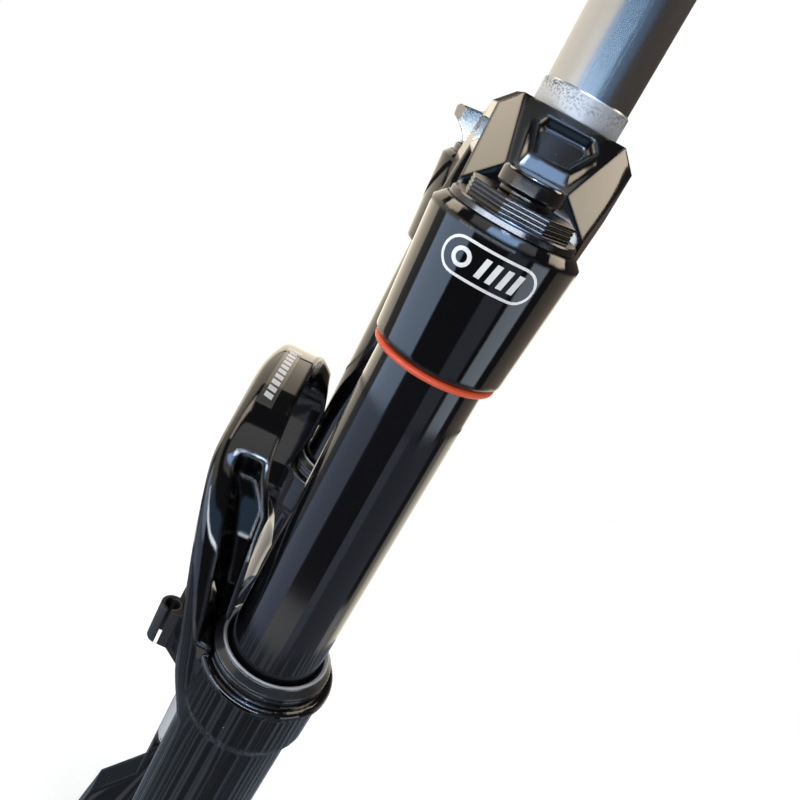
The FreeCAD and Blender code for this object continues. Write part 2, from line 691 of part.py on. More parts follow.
def make_air_side():
    """Top of the left leg: cap with a grooved octagon for a spanner, and a tyre valve under its own cap."""
    bore = "valve_d / 2"
    flange = spun("air_cap_turning", plug("cap_flange", bore), LEG_X, LEG_Y)
    foot, slab = "%s + cap_flange" % SOCKET_TOP, "((cap_octagon_height - 3 * cap_groove) / 4)"
    flats = [octagon("air_cap_core", "cap_octagon - 2 * cap_groove", "cap_octagon_height", foot)]
    for index in range(4):
        rise = "%s + %d * (%s + cap_groove)" % (foot, index, slab)
        flats.append(octagon("air_cap_slab_%d" % index, "cap_octagon", slab, rise))
    hole = rod("air_cap_hole", "valve_d", "2 * cap_octagon_height", LEG_X, LEG_Y, SOCKET_TOP)
    pieces.append(minus("air_top_cap", joined("air_cap_blank", [flange] + flats), hole))
    torus("air_top_cap_oring", STANCHION_BORE + " - oring_cord / 2", "oring_cord / 2", LEG_X, LEG_Y,
          ORING_Z)
    core_foot = "(%s - valve_core_length)" % VALVE_TOP
    turned("air_valve_stem", [
        ("valve_bore_d / 2", PLUG_FOOT), (bore, PLUG_FOOT), (bore, VALVE_TOP + " - 0.4"),
        (bore + " - 0.4", VALVE_TOP), ("valve_bore_d / 2", VALVE_TOP)], LEG_X, LEG_Y)
    ring("air_valve_core", "pin_d / 2 + turn_gap", "valve_bore_d / 2", core_foot,
         VALVE_TOP + " - pin_travel - 0.2",
         LEG_X, LEG_Y)
    turned("air_valve_pin", [
        ("0", core_foot + " - 2 * pin_travel"), ("pin_d", core_foot + " - 2 * pin_travel"),
        ("pin_d", core_foot + " - rest_gap"), ("pin_d / 2", core_foot + " - rest_gap"),
        ("pin_d / 2", VALVE_TOP),
        ("0", VALVE_TOP)], LEG_X, LEG_Y)
    room, wide, neck = "(valve_d / 2 + 2 * turn_gap)", "valve_cap_d / 2", "valve_cap_neck_d / 2"
    low, roof = "(%s + rest_gap)" % AIR_CAP_TOP, "(%s + rest_gap)" % VALVE_TOP
    shoulder, top = "(%s + valve_cap_neck)" % low, "(%s + valve_cap_height)" % low
    turned("air_valve_cap", [
        (room, low), (neck, low), (neck, shoulder), (wide + " - valve_cap_round / 2", shoulder),
        (wide, shoulder + " + valve_cap_round / 2"), (wide, top + " - valve_cap_round"),
        (wide + " - valve_cap_round * 0.2929", top + " - valve_cap_round * 0.2929", "arc"),
        (wide + " - valve_cap_round", top), ("0", top), ("0", roof), (room, roof)], LEG_X, LEG_Y)


def make_lockout():
    """Top of the right leg: damper cap, lever with its spindle and screw, and the valve that it turns."""
    x = "-" + LEG_X
    hole = "(spindle_d / 2 + turn_gap)"
    turned("damper_top_cap", plug("damper_cap_flange", hole), x, LEG_Y)
    torus("damper_top_cap_oring", STANCHION_BORE + " - oring_cord / 2", "oring_cord / 2", x, LEG_Y, ORING_Z)
    valve_top = "(%s - valve_drop)" % SOCKET_TOP
    turned("compression_valve", [
        (hole, valve_top + " - piston_height"), (PLUG, valve_top + " - piston_height"), (PLUG, valve_top),
        ("neck_d / 2", valve_top), ("neck_d / 2", PLUG_FOOT), (hole, PLUG_FOOT)], x, LEG_Y)
    bolt_hole = "lever_screw_d / 2"
    turned("lockout_spindle", [
        ("0", SPINDLE_TOP + " - spindle_length"), ("spindle_d / 2", SPINDLE_TOP + " - spindle_length"),
        ("spindle_d / 2", SPINDLE_TOP), (bolt_hole, SPINDLE_TOP),
        (bolt_hole, SPINDLE_TOP + " - 2 * lever_screw_d"),
        ("0", SPINDLE_TOP + " - 2 * lever_screw_d")], x, LEG_Y)
    head_foot = "(%s - lever_screw_head)" % LEVER_TOP
    turned("lockout_screw", [
        ("0", SPINDLE_TOP + " - 2 * lever_screw_d"), (bolt_hole, SPINDLE_TOP + " - 2 * lever_screw_d"),
        (bolt_hole, head_foot), ("lever_screw_head_d / 2", head_foot),
        ("lever_screw_head_d / 2", LEVER_TOP + " - 0.5"),
        ("lever_screw_head_d / 2 - 0.5", LEVER_TOP + " - 0.2"), ("0", LEVER_TOP + " - 0.2")], x, LEG_Y)
    knob = spun("lever_knob", [
        ("0", LEVER_FOOT), ("lever_hub_d / 2 - 0.6", LEVER_FOOT),
        ("lever_hub_d / 2", LEVER_FOOT + " + 0.6"),
        ("lever_hub_d / 2 - 2.4", LEVER_FOOT + " + lever_height * 0.41", "arc"),
        ("lever_hub_d / 2 - 2.6", LEVER_TOP + " - 1.2"), ("lever_hub_d / 2 - 3.8", LEVER_TOP),
        ("0", LEVER_TOP)],
        x, LEG_Y)
    tip_y = "(-leg_offset - lever_reach)"
    profile = extruded("lever_seen_from_side", outline("lever_side_view", SIDE, [
        (LEG_Y, LEVER_TOP), (tip_y + " + 1", LEVER_TOP + " - lever_fall"),
        (tip_y, LEVER_TOP + " - lever_fall - 1"),
        (tip_y + " + 0.6", LEVER_TOP + " - lever_tip"),
        (tip_y + " + 5", LEVER_FOOT + " + lever_height * 0.36", "arc"),
        (LEG_Y + " - lever_hub_d / 2 + 0.8", LEVER_FOOT + " + 1"), (LEG_Y, LEVER_FOOT + " + 1")], x=x),
        "2 * lever_hub_d")
    plan = extruded("lever_seen_from_above", outline("lever_plan", ABOVE, [
        ("-lever_width / 2 - 2.5", LEG_Y), ("-lever_width / 2 + 1.5", tip_y + " + 5"), ("0", tip_y, "arc"),
        ("lever_width / 2 - 1.5", tip_y + " + 5"), ("lever_width / 2 + 2.5", LEG_Y)], x=x),
        "4 * socket_drop")
    blank = joined("lever_blank", [knob, shared("lever_arm", profile, plan)])
    holes = joined("lever_holes", [
        rod("lever_socket_hole", "spindle_d", "lever_socket + 1", x, LEG_Y, LEVER_FOOT + " - 1"),
        rod("lever_screw_hole", "lever_screw_d", "lever_height", x, LEG_Y, LEVER_FOOT),
        rod("lever_head_hole", "lever_screw_head_d", "2 * lever_screw_head", x, LEG_Y, head_foot)])
    pieces.append(minus("lockout_lever", blank, holes))


def make_inner_parts():
    """Inside the stanchions: seal heads on circlips, shafts from the feet, pistons and rubber bumpers."""
    shaft_hole = "(shaft_d / 2 + slide_gap)"
    for (side, x), use in zip(SIDES, ("air", "damper")):
        ring(use + "_seal_head", shaft_hole, PLUG, CLIP_TOP, HEAD_TOP, x, LEG_Y)
        turned(use + "_shaft", [
            ("foot_bolt_d / 2", FLOOR), ("shaft_d / 2", FLOOR), ("shaft_d / 2", PISTON_TOP),
            ("0", PISTON_TOP),
            ("0", FLOOR + " + foot_bolt_bite + 2"), ("foot_bolt_d / 2", FLOOR + " + foot_bolt_bite + 2")],
            x, LEG_Y)
        ring("top_out_bumper_" + side, "shaft_d / 2", "topout_d / 2", PISTON_FOOT + " - topout_height",
             PISTON_FOOT, x, LEG_Y)
        ring("bottom_out_bumper_" + side, "shaft_d / 2", "bumper_d / 2", FLOOR, FLOOR + " + bumper_height",
             x, LEG_Y)
    crown_r = "(%s - piston_gap)" % STANCHION_BORE
    seat = "(%s - turn_gap - oring_cord)" % STANCHION_BORE
    centre = "(%s + piston_height / 2)" % PISTON_FOOT
    turned("air_piston", [
        ("shaft_d / 2", PISTON_FOOT), (crown_r, PISTON_FOOT), (crown_r, centre + " - oring_cord * 0.6"),
        (seat, centre + " - oring_cord * 0.6"), (seat, centre + " + oring_cord * 0.6"),
        (crown_r, centre + " + oring_cord * 0.6"), (crown_r, PISTON_TOP), ("shaft_d / 2", PISTON_TOP)],
        LEG_X, LEG_Y)
    torus("air_piston_seal", STANCHION_BORE + " - turn_gap - oring_cord / 2", "oring_cord / 2", LEG_X,
          LEG_Y, centre)
    piston = ring("damper_piston", "shaft_d / 2", crown_r, PISTON_FOOT, PISTON_TOP, "-" + LEG_X, LEG_Y)
    drill_ports(piston)


def drill_ports(piston):
    """Six oil ports through the damper piston, in a circle."""
    sketch = piston.newObject("Sketcher::SketchObject", "port_sketch")
    plane = [feature for feature in piston.Origin.OriginFeatures if feature.Role == "XY_Plane"][0]
    sketch.AttachmentSupport = [(plane, "")]
    sketch.MapMode = "FlatFace"
    sketch.setExpression("AttachmentOffset.Base.z", bound(PISTON_TOP))
    centre, radius = V(value("port_circle_d / 2"), 0, 0), value("port_d / 2")
    circle = sketch.addGeometry(Part.Circle(centre, V(0, 0, 1), radius), False)
    pin(sketch, circle, 3, ("port_circle_d / 2", "0"))
    constraint = sketch.addConstraint(Sketcher.Constraint("Radius", circle, radius))
    sketch.setExpression("Constraints[%d]" % constraint, bound("port_d / 2"))
    port = piston.newObject("PartDesign::Pocket", "port")
    port.Profile = sketch
    port.Type = "ThroughAll"
    doc.recompute()
    ports = piston.newObject("PartDesign::PolarPattern", "ports")
    ports.Originals = [port]
    ports.Axis = (sketch, ["N_Axis"])
    ports.Occurrences = 6
    piston.Tip = ports


def both_legs(label, form):
    """Two alike small pieces, one in each leg, kept together as one node."""
    group = doc.addObject("Part::Compound", label)
    group.Links = [form, mirrored(label + "_right", form)]
    pieces.append(group)


def make_fasteners():
    """Circlips under the seal heads, and the bolts and washers that hold the shafts to the feet."""
    both_legs("seal_head_circlips", spun("circlip", [
        (STANCHION_BORE + " - 1.8", CLIP_FOOT), (STANCHION_BORE + " + clip_width - 0.1", CLIP_FOOT),
        (STANCHION_BORE + " + clip_width - 0.1", CLIP_TOP), (STANCHION_BORE + " - 1.8", CLIP_TOP)], LEG_X,
        LEG_Y))
    washer_foot = "(%s - washer)" % FOOT_SEAT
    both_legs("foot_washers", spun("washer_form", [
        ("foot_bolt_d / 2", washer_foot), ("foot_recess_d / 2 - 0.5", washer_foot),
        ("foot_recess_d / 2 - 0.5", FOOT_SEAT), ("foot_bolt_d / 2", FOOT_SEAT)], LEG_X, LEG_Y))
    head_foot = "(%s - foot_bolt_head)" % washer_foot
    screw = spun("foot_bolt_turning", [
        ("0", head_foot), ("foot_bolt_head_d / 2 - 0.5", head_foot),
        ("foot_bolt_head_d / 2", head_foot + " + 0.5"),
        ("foot_bolt_head_d / 2", washer_foot), ("foot_bolt_d / 2", washer_foot),
        ("foot_bolt_d / 2", FLOOR + " + foot_bolt_bite"), ("0", FLOOR + " + foot_bolt_bite")], LEG_X, LEG_Y)
    socket = doc.addObject("Part::Prism", "foot_bolt_hexagon")
    socket.Polygon = 6
    socket.setExpression("Circumradius", bound("foot_bolt_socket / 2 / cos(30)"))
    socket.setExpression("Height", bound("foot_bolt_head"))
    place(socket, LEG_X, LEG_Y, head_foot + " - 1.5")
    both_legs("foot_bolts", minus("foot_bolt_form", screw, socket))


def make_travel_ring():
    """Rubber ring on the left stanchion, pushed up against the crown's socket by the dust seal."""
    height = SOCKET_FOOT + " - ring_cord / 2 - 0.1"
    torus("travel_ring", LIP + " + ring_cord / 2", "ring_cord / 2", LEG_X, LEG_Y, height)


def make_hose_guide():
    """Snap-in guide for the brake hose: a slit ring on a plate, screwed to the boss of the left leg."""
    ring_form = rod("hose_ring", "2 * " + HOSE_RING_R, "hose_guide_length", "hose_x", "hose_y", HOSE_FOOT)
    plate_front = "(%s - hose_plate)" % HOSE_SEAT
    plate = box("hose_plate_form", "hose_boss_width", "hose_plate", "hose_guide_length",
                HOSE_INNER_X, plate_front, HOSE_FOOT)
    slit = box("hose_slit_form", HOSE_RING_R + " + 1", "hose_slit", "hose_guide_length + 2",
               "hose_x", "hose_y - hose_slit / 2", HOSE_FOOT + " - 1")
    screw_x = "(%s + hose_screw_head_d / 2 + rest_gap)" % HOSE_INNER_X
    holes = joined("hose_guide_holes", [
        rod("hose_channel", "hose_d", "hose_guide_length + 2", "hose_x", "hose_y", HOSE_FOOT + " - 1"),
        slit,
        rod("hose_screw_hole", "hose_screw_d", "3 * hose_plate", screw_x, plate_front + " - 1", "hose_z",
            V(0, 1, 0))])
    pieces.append(minus("hose_guide", joined("hose_guide_blank", [ring_form, plate]), holes))
    head = rod("hose_screw_head", "hose_screw_head_d", "hose_screw_head", screw_x,
               plate_front + " - hose_screw_head", "hose_z", V(0, 1, 0))
    shank = rod("hose_screw_shank", "hose_screw_d", "hose_screw_length", screw_x, plate_front, "hose_z",
                V(0, 1, 0))
    pieces.append(joined("hose_guide_screw", [head, shank]))
    return rod("hose_boss_hole", "hose_screw_d", "hose_screw_length - hose_plate + 1", screw_x, HOSE_SEAT,
               "hose_z",
               V(0, 1, 0))


SIDES = (("left", LEG_X), ("right", "-" + LEG_X))
make_steerer()
make_crown()
make_stanchions()
make_lower_legs(make_hose_guide())
make_seals_and_bushings()
make_air_side()
make_lockout()
make_inner_parts()
make_fasteners()
make_travel_ring()

doc.recompute()
for thing in doc.Objects:
    if "Invalid" in thing.State or "Error" in thing.State:
        raise RuntimeError("%s failed: %s" % (thing.Label, thing.State))
os.makedirs("parts", exist_ok=True)
for piece in pieces:
    shape = piece.Shape
    if shape.isNull() or not shape.isValid():
        raise RuntimeError(piece.Label + " has no sound shape")
    shape.exportStep("parts/%s.step" % piece.Label)
    print(piece.Label, len(shape.Solids), round(shape.Volume), shape.BoundBox)
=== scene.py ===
"""Looks for a bicycle suspension fork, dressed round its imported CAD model.

Laid out as an add-on but run as a script: main() calls one operator for each group of pieces.
"""

import json
import math
import random

import bmesh
import bpy
from bpy.props import FloatProperty, FloatVectorProperty, IntProperty, PointerProperty
from bpy.types import Operator, Panel, PropertyGroup
from mathutils import Matrix, Vector
from mathutils.bvhtree import BVHTree


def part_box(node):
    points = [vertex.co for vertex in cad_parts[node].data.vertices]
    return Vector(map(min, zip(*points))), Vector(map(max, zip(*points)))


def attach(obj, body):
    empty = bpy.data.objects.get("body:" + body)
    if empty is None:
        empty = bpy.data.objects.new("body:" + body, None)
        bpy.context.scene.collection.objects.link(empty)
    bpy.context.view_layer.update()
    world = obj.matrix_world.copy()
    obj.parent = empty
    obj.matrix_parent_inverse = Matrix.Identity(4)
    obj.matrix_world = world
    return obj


bl_info = {
    "name": "Suspension Fork",
    "version": (1, 0, 0),
    "blender": (4, 5, 0),
    "location": "View3D > Sidebar > Fork",
    "description": "Finishes, printed graphics and studio for a bicycle suspension fork",
    "category": "Object",
}

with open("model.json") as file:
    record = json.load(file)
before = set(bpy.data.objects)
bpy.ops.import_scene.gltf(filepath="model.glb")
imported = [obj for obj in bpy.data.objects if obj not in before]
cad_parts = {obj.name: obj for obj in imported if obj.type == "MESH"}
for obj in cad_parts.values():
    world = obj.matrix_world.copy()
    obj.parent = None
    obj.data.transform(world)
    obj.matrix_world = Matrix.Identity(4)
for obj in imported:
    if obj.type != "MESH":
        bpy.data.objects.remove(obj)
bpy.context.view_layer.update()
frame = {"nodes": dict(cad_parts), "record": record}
NODES = frame["nodes"]

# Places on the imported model, in metres from the middle of the crown's race seat.
LEG_LOW, LEG_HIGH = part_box("stanchion_left")
LEG_X = (LEG_LOW.x + LEG_HIGH.x) / 2
LEG_Y = (LEG_LOW.y + LEG_HIGH.y) / 2
SOCKET_TOP = LEG_HIGH.z
LOWERS_LOW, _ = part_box("lower_legs")
SEAL_LOW, SEAL_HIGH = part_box("dust_seal_left")
COLLAR_ROLL = SEAL_LOW.z + 0.0035
RACE_SEAT_TOP = 0.0078

# The finishes, by the names of the record's material slots and of the prints.
FINISHES = {}
COAT_ROUGHNESS = 0.03
DUST_COLOUR = (0.25, 0.24, 0.22, 1)

# The crown's race seat: the reach of the scuffs below its top, how far its upper edge wanders, and its looks.
SEAT_SCUFFS = 0.0085
SEAT_WOBBLE = 0.001
SEAT_EDGE = 0.0002
SEAT_ROUGHNESS = 0.5
SEAT_METALLIC = 0.55
SEAT_COLOUR = (0.6, 0.62, 0.65, 1)
SCUFF_COLOUR = (0.09, 0.1, 0.12, 1)

# The painted highlight on the seals' lips: the middle of the pale line, where it fades to each side, and
# where it fades below the seal's top.
LIP_RADIUS = 0.0178
LIP_FADE = (0.0004, 0.0007)
LIP_FOOT, LIP_TOP = 0.0012, 0.0008
LIP_HIGHLIGHT_COLOUR = (0.6, 0.62, 0.66, 1)

# The radius of the casting's soft edges, that of the collars' roll, and where one changes to the other.
CASTING_EDGE = 0.0028
ROLL_EDGE = 0.0004
ROLL_REACH = (0.0035, 0.0065)

# A print is a thin skin that is sunk a little into the surface under it, so that no gap shows. Flat widths
# turn into angles round a leg at the wrap radius, and lines towards the leg start well outside it.
PRINT_DEPTH = 0.00022
PRINT_SINK = 0.0001
WRAP_RADIUS = 0.0195
RAY_START = 0.05
WELD_DISTANCE = 0.000002

# The badge's marks, as shares of its height: a ring near its end, and slanted bars after it. A bar's reach is
# how far it goes up and down from the middle.
RING_PLACE, RING_RADIUS, RING_WIDTH = 0.56, 0.26, 0.11
BADGE_BARS = 4
BADGE_BAR_PLACE, BADGE_BAR_PITCH = 1.02, 0.29
BADGE_BAR_WIDTH, BADGE_BAR_REACH, BADGE_BAR_LEAN = 0.15, 0.27, 0.1

# The pale leg panels: the slanted top is one part of this many, and the taper to the foot starts at a share
# of the height. The panel keeps a hair's width at its foot. A bar fills a share of the step to the next one.
PANEL_STEPS = 32
PANEL_TOP_PARTS = 6
PANEL_TAPER = 0.86
PANEL_TAPER_POWER = 2.2
PANEL_POINT = 0.0003
LEG_BAR_SHARE = 0.6

# The camera: its place, its right and up directions, and its lens and sensor in millimetres.
CAMERA_PLACE = (0.25932, -0.03841, -0.007)
CAMERA_RIGHT = (-0.07099, 0.89217, 0.44609)
CAMERA_UP = (-0.38765, -0.43674, 0.81178)
CAMERA_LENS = 33.70185
SENSOR_WIDTH = 36
CLIP_START = 0.01

# The floor lies just under the dropouts. Its lift is a glow that makes the ground near the fork look white.
FLOOR_GAP = 0.0005
FLOOR_COLOUR = (0.9, 0.9, 0.9, 1)
FLOOR_LIFT = 0.42
FLOOR_FADE = (0.5, 1.1)
WHITE = (1, 1, 1, 1)

# Lamps: where each stands, as a turn in degrees, a reach and a height, then its size, radiance and colour.
LAMPS = (
    ("window_left", -66, 1.3, 0.15, (0.42, 1.2), 5.0, (0.93, 0.97, 1.0)),
    ("window_right", 58, 1.3, 0.12, (0.2, 1.0), 4.0, (0.85, 0.93, 1.0)),
    ("overhead", 20, 0.4, 1.3, (0.9, 0.9), 0.8, (1.0, 0.98, 0.95)),
)
LAMP_AIM = Vector((0, 0, -0.1))

# Studio cards that the gloss finishes mirror, in a ring round the left leg: where each starts and ends in
# degrees from the outer side, its foot and top in metres from the crown, and its light.
CARD_RADIUS = 0.38
CARD_MIDDLE = (0.05, -0.01)
CARD_FOOT = -0.52
TUBE_BAND = (CARD_FOOT, -0.245)
SOCKET_BAND = (-0.24, -0.09)
STEERER_BAND = (-0.08, 0.16)
STEERER_MIDDLE = (-0.04, 0.12)
SIDE_LIGHT = (4.6, 4.0, 3.15)
CARDS = (
    # The band that the sliding tubes mirror.
    ("tube_warm", -176, -118, -0.36, -0.245, (1.3, 1.2, 1.0)),
    ("tube_grey", -118, -97, *TUBE_BAND, (0.3, 0.3, 0.32)),
    ("tube_blue", -97, -42, *TUBE_BAND, (0.75, 0.9, 1.25)),
    ("tube_stripe", 8, 24, *TUBE_BAND, (0.55, 0.62, 0.8)),
    ("tube_side", 24, 82, *TUBE_BAND, (0.28, 0.31, 0.38)),
    ("tube_edge", 97, 112, *TUBE_BAND, (0.8, 0.75, 0.6)),
    ("tube_rim", 112, 165, *TUBE_BAND, (1.5, 1.4, 1.2)),
    # The band that the crown's sockets mirror.
    ("socket_warm", -176, -117, *SOCKET_BAND, (2.0, 1.8, 1.45)),
    ("socket_grey", -117, -97, *SOCKET_BAND, (0.3, 0.3, 0.3)),
    ("socket_window", -97, -44, *SOCKET_BAND, (2.1, 2.7, 3.6)),
    ("socket_stripe", 8, 36, *SOCKET_BAND, (0.4, 0.45, 0.55)),
    ("socket_bright", 44, 70, *SOCKET_BAND, (2.2, 2.5, 2.9)),
    ("socket_side", 86, 140, *SOCKET_BAND, (0.5, 0.42, 0.33)),
    ("socket_rim", 140, 184, *SOCKET_BAND, (1.3, 1.2, 1.0)),
    # The band that the steerer mirrors.
    ("steerer_warm", -176, -50, *STEERER_BAND, (1.3, 1.15, 0.92)),
    ("steerer_blue", -50, 22, *STEERER_MIDDLE, (0.34, 0.62, 0.95)),
    ("steerer_dusk", 22, 48, *STEERER_MIDDLE, (0.16, 0.24, 0.36)),
    ("steerer_dark", 48, 184, *STEERER_BAND, (0.1, 0.08, 0.065)),
    # The slit that lights the arch's outer edge.
    ("arch_window", -70, 16, -0.09, -0.054, (17.0, 18.5, 20.5)),
    # The bright patches that the crown's leaning sides mirror.
    ("side_near", -160, -112, 0.22, 0.4, SIDE_LIGHT),
    ("side_far", 96, 140, 0.2, 0.4, SIDE_LIGHT),
)

# The dark room round the cards, and the cards over the fork and on its floor.
DARK_RADIUS = 0.46
DARK_LIGHT = (0.05, 0.05, 0.055)
OVERHEAD_HEIGHT = 0.8
OVERHEAD_REACH = 0.25
OVERHEAD_TURN = (-70, 110)
OVERHEAD_LIGHT = (4.0, 6.2, 10.0)
ZENITH_REACH = 0.06
ZENITH_GAP = 0.01
ZENITH_LIGHT = (60.0, 72.0, 92.0)
FLOOR_CARD_GAP = 0.003
FLOOR_CARD_LIGHT = (0.13, 0.15, 0.18)
STREAKS = 44
STREAK_GAP = 0.001
STREAK_WIDTH = (0.5, 5)
STREAK_SCATTER = 0.8
STREAK_LIGHT = (0.5, 0.58, 0.7)
STREAK_SEED = 4
CARD_STEP = 5
ALL_ROUND = (-180, 180)


# ---------------------------------------------------------------- sizes and colours


class ForkColours(PropertyGroup):
    """Colours of the fork's main finishes."""

    paint: FloatVectorProperty(
        name="Paint", description="Gloss paint of the crown and the lower legs",
        subtype="COLOR", size=3, min=0, max=1, default=(0.0035, 0.0036, 0.0042))
    stanchion: FloatVectorProperty(
        name="Stanchion", description="Hard anodising of the sliding tubes",
        subtype="COLOR", size=3, min=0, max=1, default=(0.004, 0.0042, 0.0055))
    steerer: FloatVectorProperty(
        name="Steerer", description="Drawn aluminium of the steerer tube",
        subtype="COLOR", size=3, min=0, max=1, default=(0.42, 0.44, 0.47))
    travel_ring: FloatVectorProperty(
        name="Travel ring", description="Rubber ring that marks the travel used",
        subtype="COLOR", size=3, min=0, max=1, default=(0.78, 0.1, 0.035))
    print_white: FloatVectorProperty(
        name="White print", description="Printed bars and the badge's outline",
        subtype="COLOR", size=3, min=0, max=1, default=(0.86, 0.87, 0.88))
    print_grey: FloatVectorProperty(
        name="Grey print", description="Pale panels on the inner front of the legs",
        subtype="COLOR", size=3, min=0, max=1, default=(0.62, 0.64, 0.67))


class BadgeSizes(PropertyGroup):
    """Badge on the left leg's crown socket."""

    width: FloatProperty(
        name="Width", description="Length of the badge round the socket",
        unit="LENGTH", min=0.01, default=0.0245)
    height: FloatProperty(
        name="Height", description="Height of the badge", unit="LENGTH", min=0.004, default=0.0096)
    border: FloatProperty(
        name="Border", description="Width of its outline", unit="LENGTH", min=0.0002, default=0.0007)
    drop: FloatProperty(
        name="Drop", description="Middle of the badge below the socket's top",
        unit="LENGTH", min=0, default=0.0098)
    turn: FloatProperty(
        name="Turn", description="Where the badge looks, round the leg from the outer side towards the front",
        subtype="ANGLE", default=math.radians(6))


class LegPrintSizes(PropertyGroup):
    """Printed bars and pale panels on the lower legs."""

    top: FloatProperty(
        name="Top", description="Top of the printing below the crown", unit="LENGTH", default=-0.276)
    foot: FloatProperty(
        name="Foot", description="Foot of the pale panels below the crown", unit="LENGTH", default=-0.398)
    bar_foot: FloatProperty(
        name="Foot of the bars", description="Foot of the lowest bar below the crown",
        unit="LENGTH", default=-0.386)
    shoulder: FloatProperty(
        name="Shoulder", description="Height of the slanted edges", unit="LENGTH", min=0, default=0.02)
    gap: FloatProperty(
        name="Gap", description="From the front line to the printing", unit="LENGTH", min=0, default=0.0025)
    reach: FloatProperty(
        name="Reach", description="From the front line round to the printing's sides",
        unit="LENGTH", default=0.0235)
    bars: IntProperty(name="Bars", description="Slanted bars on each leg", min=1, default=7)


class ArchLabelSizes(PropertyGroup):
    """Dark label with pale bars on top of the arch."""

    back: FloatProperty(
        name="Back", description="Middle of the label behind the arch's front",
        unit="LENGTH", min=0, default=0.0082)
    right_end: FloatProperty(
        name="Right end", description="End towards the right leg", unit="LENGTH", max=0, default=-0.0265)
    left_end: FloatProperty(
        name="Left end", description="End towards the left leg", unit="LENGTH", min=0, default=0.029)
    width: FloatProperty(
        name="Width", description="Width of the label", unit="LENGTH", min=0.001, default=0.006)
    margin: FloatProperty(
        name="Margin", description="From the right end to the first bar", unit="LENGTH", min=0, default=0.006)
    bars: IntProperty(name="Bars", description="Slanted bars on the label", min=1, default=10)
    pitch: FloatProperty(
        name="Pitch", description="From one bar to the next", unit="LENGTH", min=0.001, default=0.0046)
    bar_width: FloatProperty(
        name="Bar width", description="Width of a bar", unit="LENGTH", min=0.0005, default=0.003)
    bar_height: FloatProperty(
        name="Bar height", description="Height of a bar", unit="LENGTH", min=0.0005, default=0.0032)
    bar_lean: FloatProperty(
        name="Bar lean", description="How far a bar's top leans over", unit="LENGTH", default=0.001)


class StageSizes(PropertyGroup):
    """Pale floor and all-round light."""

    floor_radius: FloatProperty(
        name="Floor radius", description="Radius of the pale floor", unit="LENGTH", min=0.5, default=6)
    world_level: FloatProperty(
        name="World level", description="Strength of the all-round light", min=0, default=0.55)


# ---------------------------------------------------------------- shader groups and finishes


def new_group(name, inputs, outputs):
    """An empty shader node group with named sockets. Inputs carry their default values."""
    group = bpy.data.node_groups.new(name, "ShaderNodeTree")
    for label, kind, value in inputs:
        group.interface.new_socket(label, in_out="INPUT", socket_type=kind).default_value = value
    for label, kind in outputs:
        group.interface.new_socket(label, in_out="OUTPUT", socket_type=kind)
    return group, group.nodes.new("NodeGroupInput"), group.nodes.new("NodeGroupOutput")


class Tree:
    """Short calls for wiring a node tree."""

    def __init__(self, tree):
        self.tree = tree

    def node(self, kind, settings=None, **inputs):
        """A node with its settings, and its inputs by name, or as i0, i1 and so on by place."""
        made = self.tree.nodes.new(kind)
        for name, value in (settings or {}).items():
            setattr(made, name, value)
        for name, value in inputs.items():
            self.put(made, name.replace("_", " "), value)
        return made

    def put(self, made, name, value):
        """Links a socket to an input of the node, or gives the input a plain value."""
        socket = made.inputs[int(name[1:])] if name[:1] == "i" and name[1:].isdigit() else made.inputs[name]
        if isinstance(value, bpy.types.NodeSocket):
            self.tree.links.new(value, socket)
        else:
            socket.default_value = value

    def maths(self, operation, first, second=0.0, clamp=False):
        """Works out one sum on two values."""
        return self.node("ShaderNodeMath", {"operation": operation, "use_clamp": clamp},
                         i0=first, i1=second).outputs[0]

    def spread(self, value, low, high, to_low=0.0, to_high=1.0):
        """Maps a value between low and high to one between to_low and to_high."""
        return self.node("ShaderNodeMapRange", {"clamp": True}, i0=value, i1=low, i2=high,
                         i3=to_low, i4=to_high).outputs[0]

    def off(self, value, middle):
        """How far a value is from a middle one, either way."""
        return self.maths("ABSOLUTE", self.maths("SUBTRACT", value, middle))

    def mix(self, share, first, second):
        """The first value where the share is 0, the second where it is 1."""
        return self.node("ShaderNodeMix", {"data_type": "FLOAT"}, i0=share, i2=first, i3=second).outputs[0]

    def mix_colours(self, share, first, second):
        """The first colour where the share is 0, the second where it is 1."""
        return self.node("ShaderNodeMix", {"data_type": "RGBA"}, i0=share, i6=first, i7=second).outputs[2]

    def length(self, vector):
        """How long a vector is."""
        return self.node("ShaderNodeVectorMath", {"operation": "LENGTH"}, i0=vector).outputs["Value"]

    def noise(self, place, scale, detail, roughness=0.5):
        """Cloudy noise between 0 and 1."""
        return self.node("ShaderNodeTexNoise", Vector=place, Scale=scale, Detail=detail,
                         Roughness=roughness).outputs[0]

    def place(self):
        """Where on the piece a point is, in metres."""
        return self.node("ShaderNodeTexCoord").outputs["Object"]

    def seen(self):
        """1 for what the camera, a mirror or glass shows, 0 for light on the fork."""
        path = self.node("ShaderNodeLightPath").outputs
        mirrored = self.maths("MAXIMUM", path["Is Camera Ray"], path["Is Glossy Ray"])
        return self.maths("MAXIMUM", mirrored, path["Is Transmission Ray"])


def new_material(name):
    """A material with no nodes yet, and its tree."""
    material = bpy.data.materials.new(name)
    material.use_nodes = True
    material.node_tree.nodes.clear()
    return material, Tree(material.node_tree)


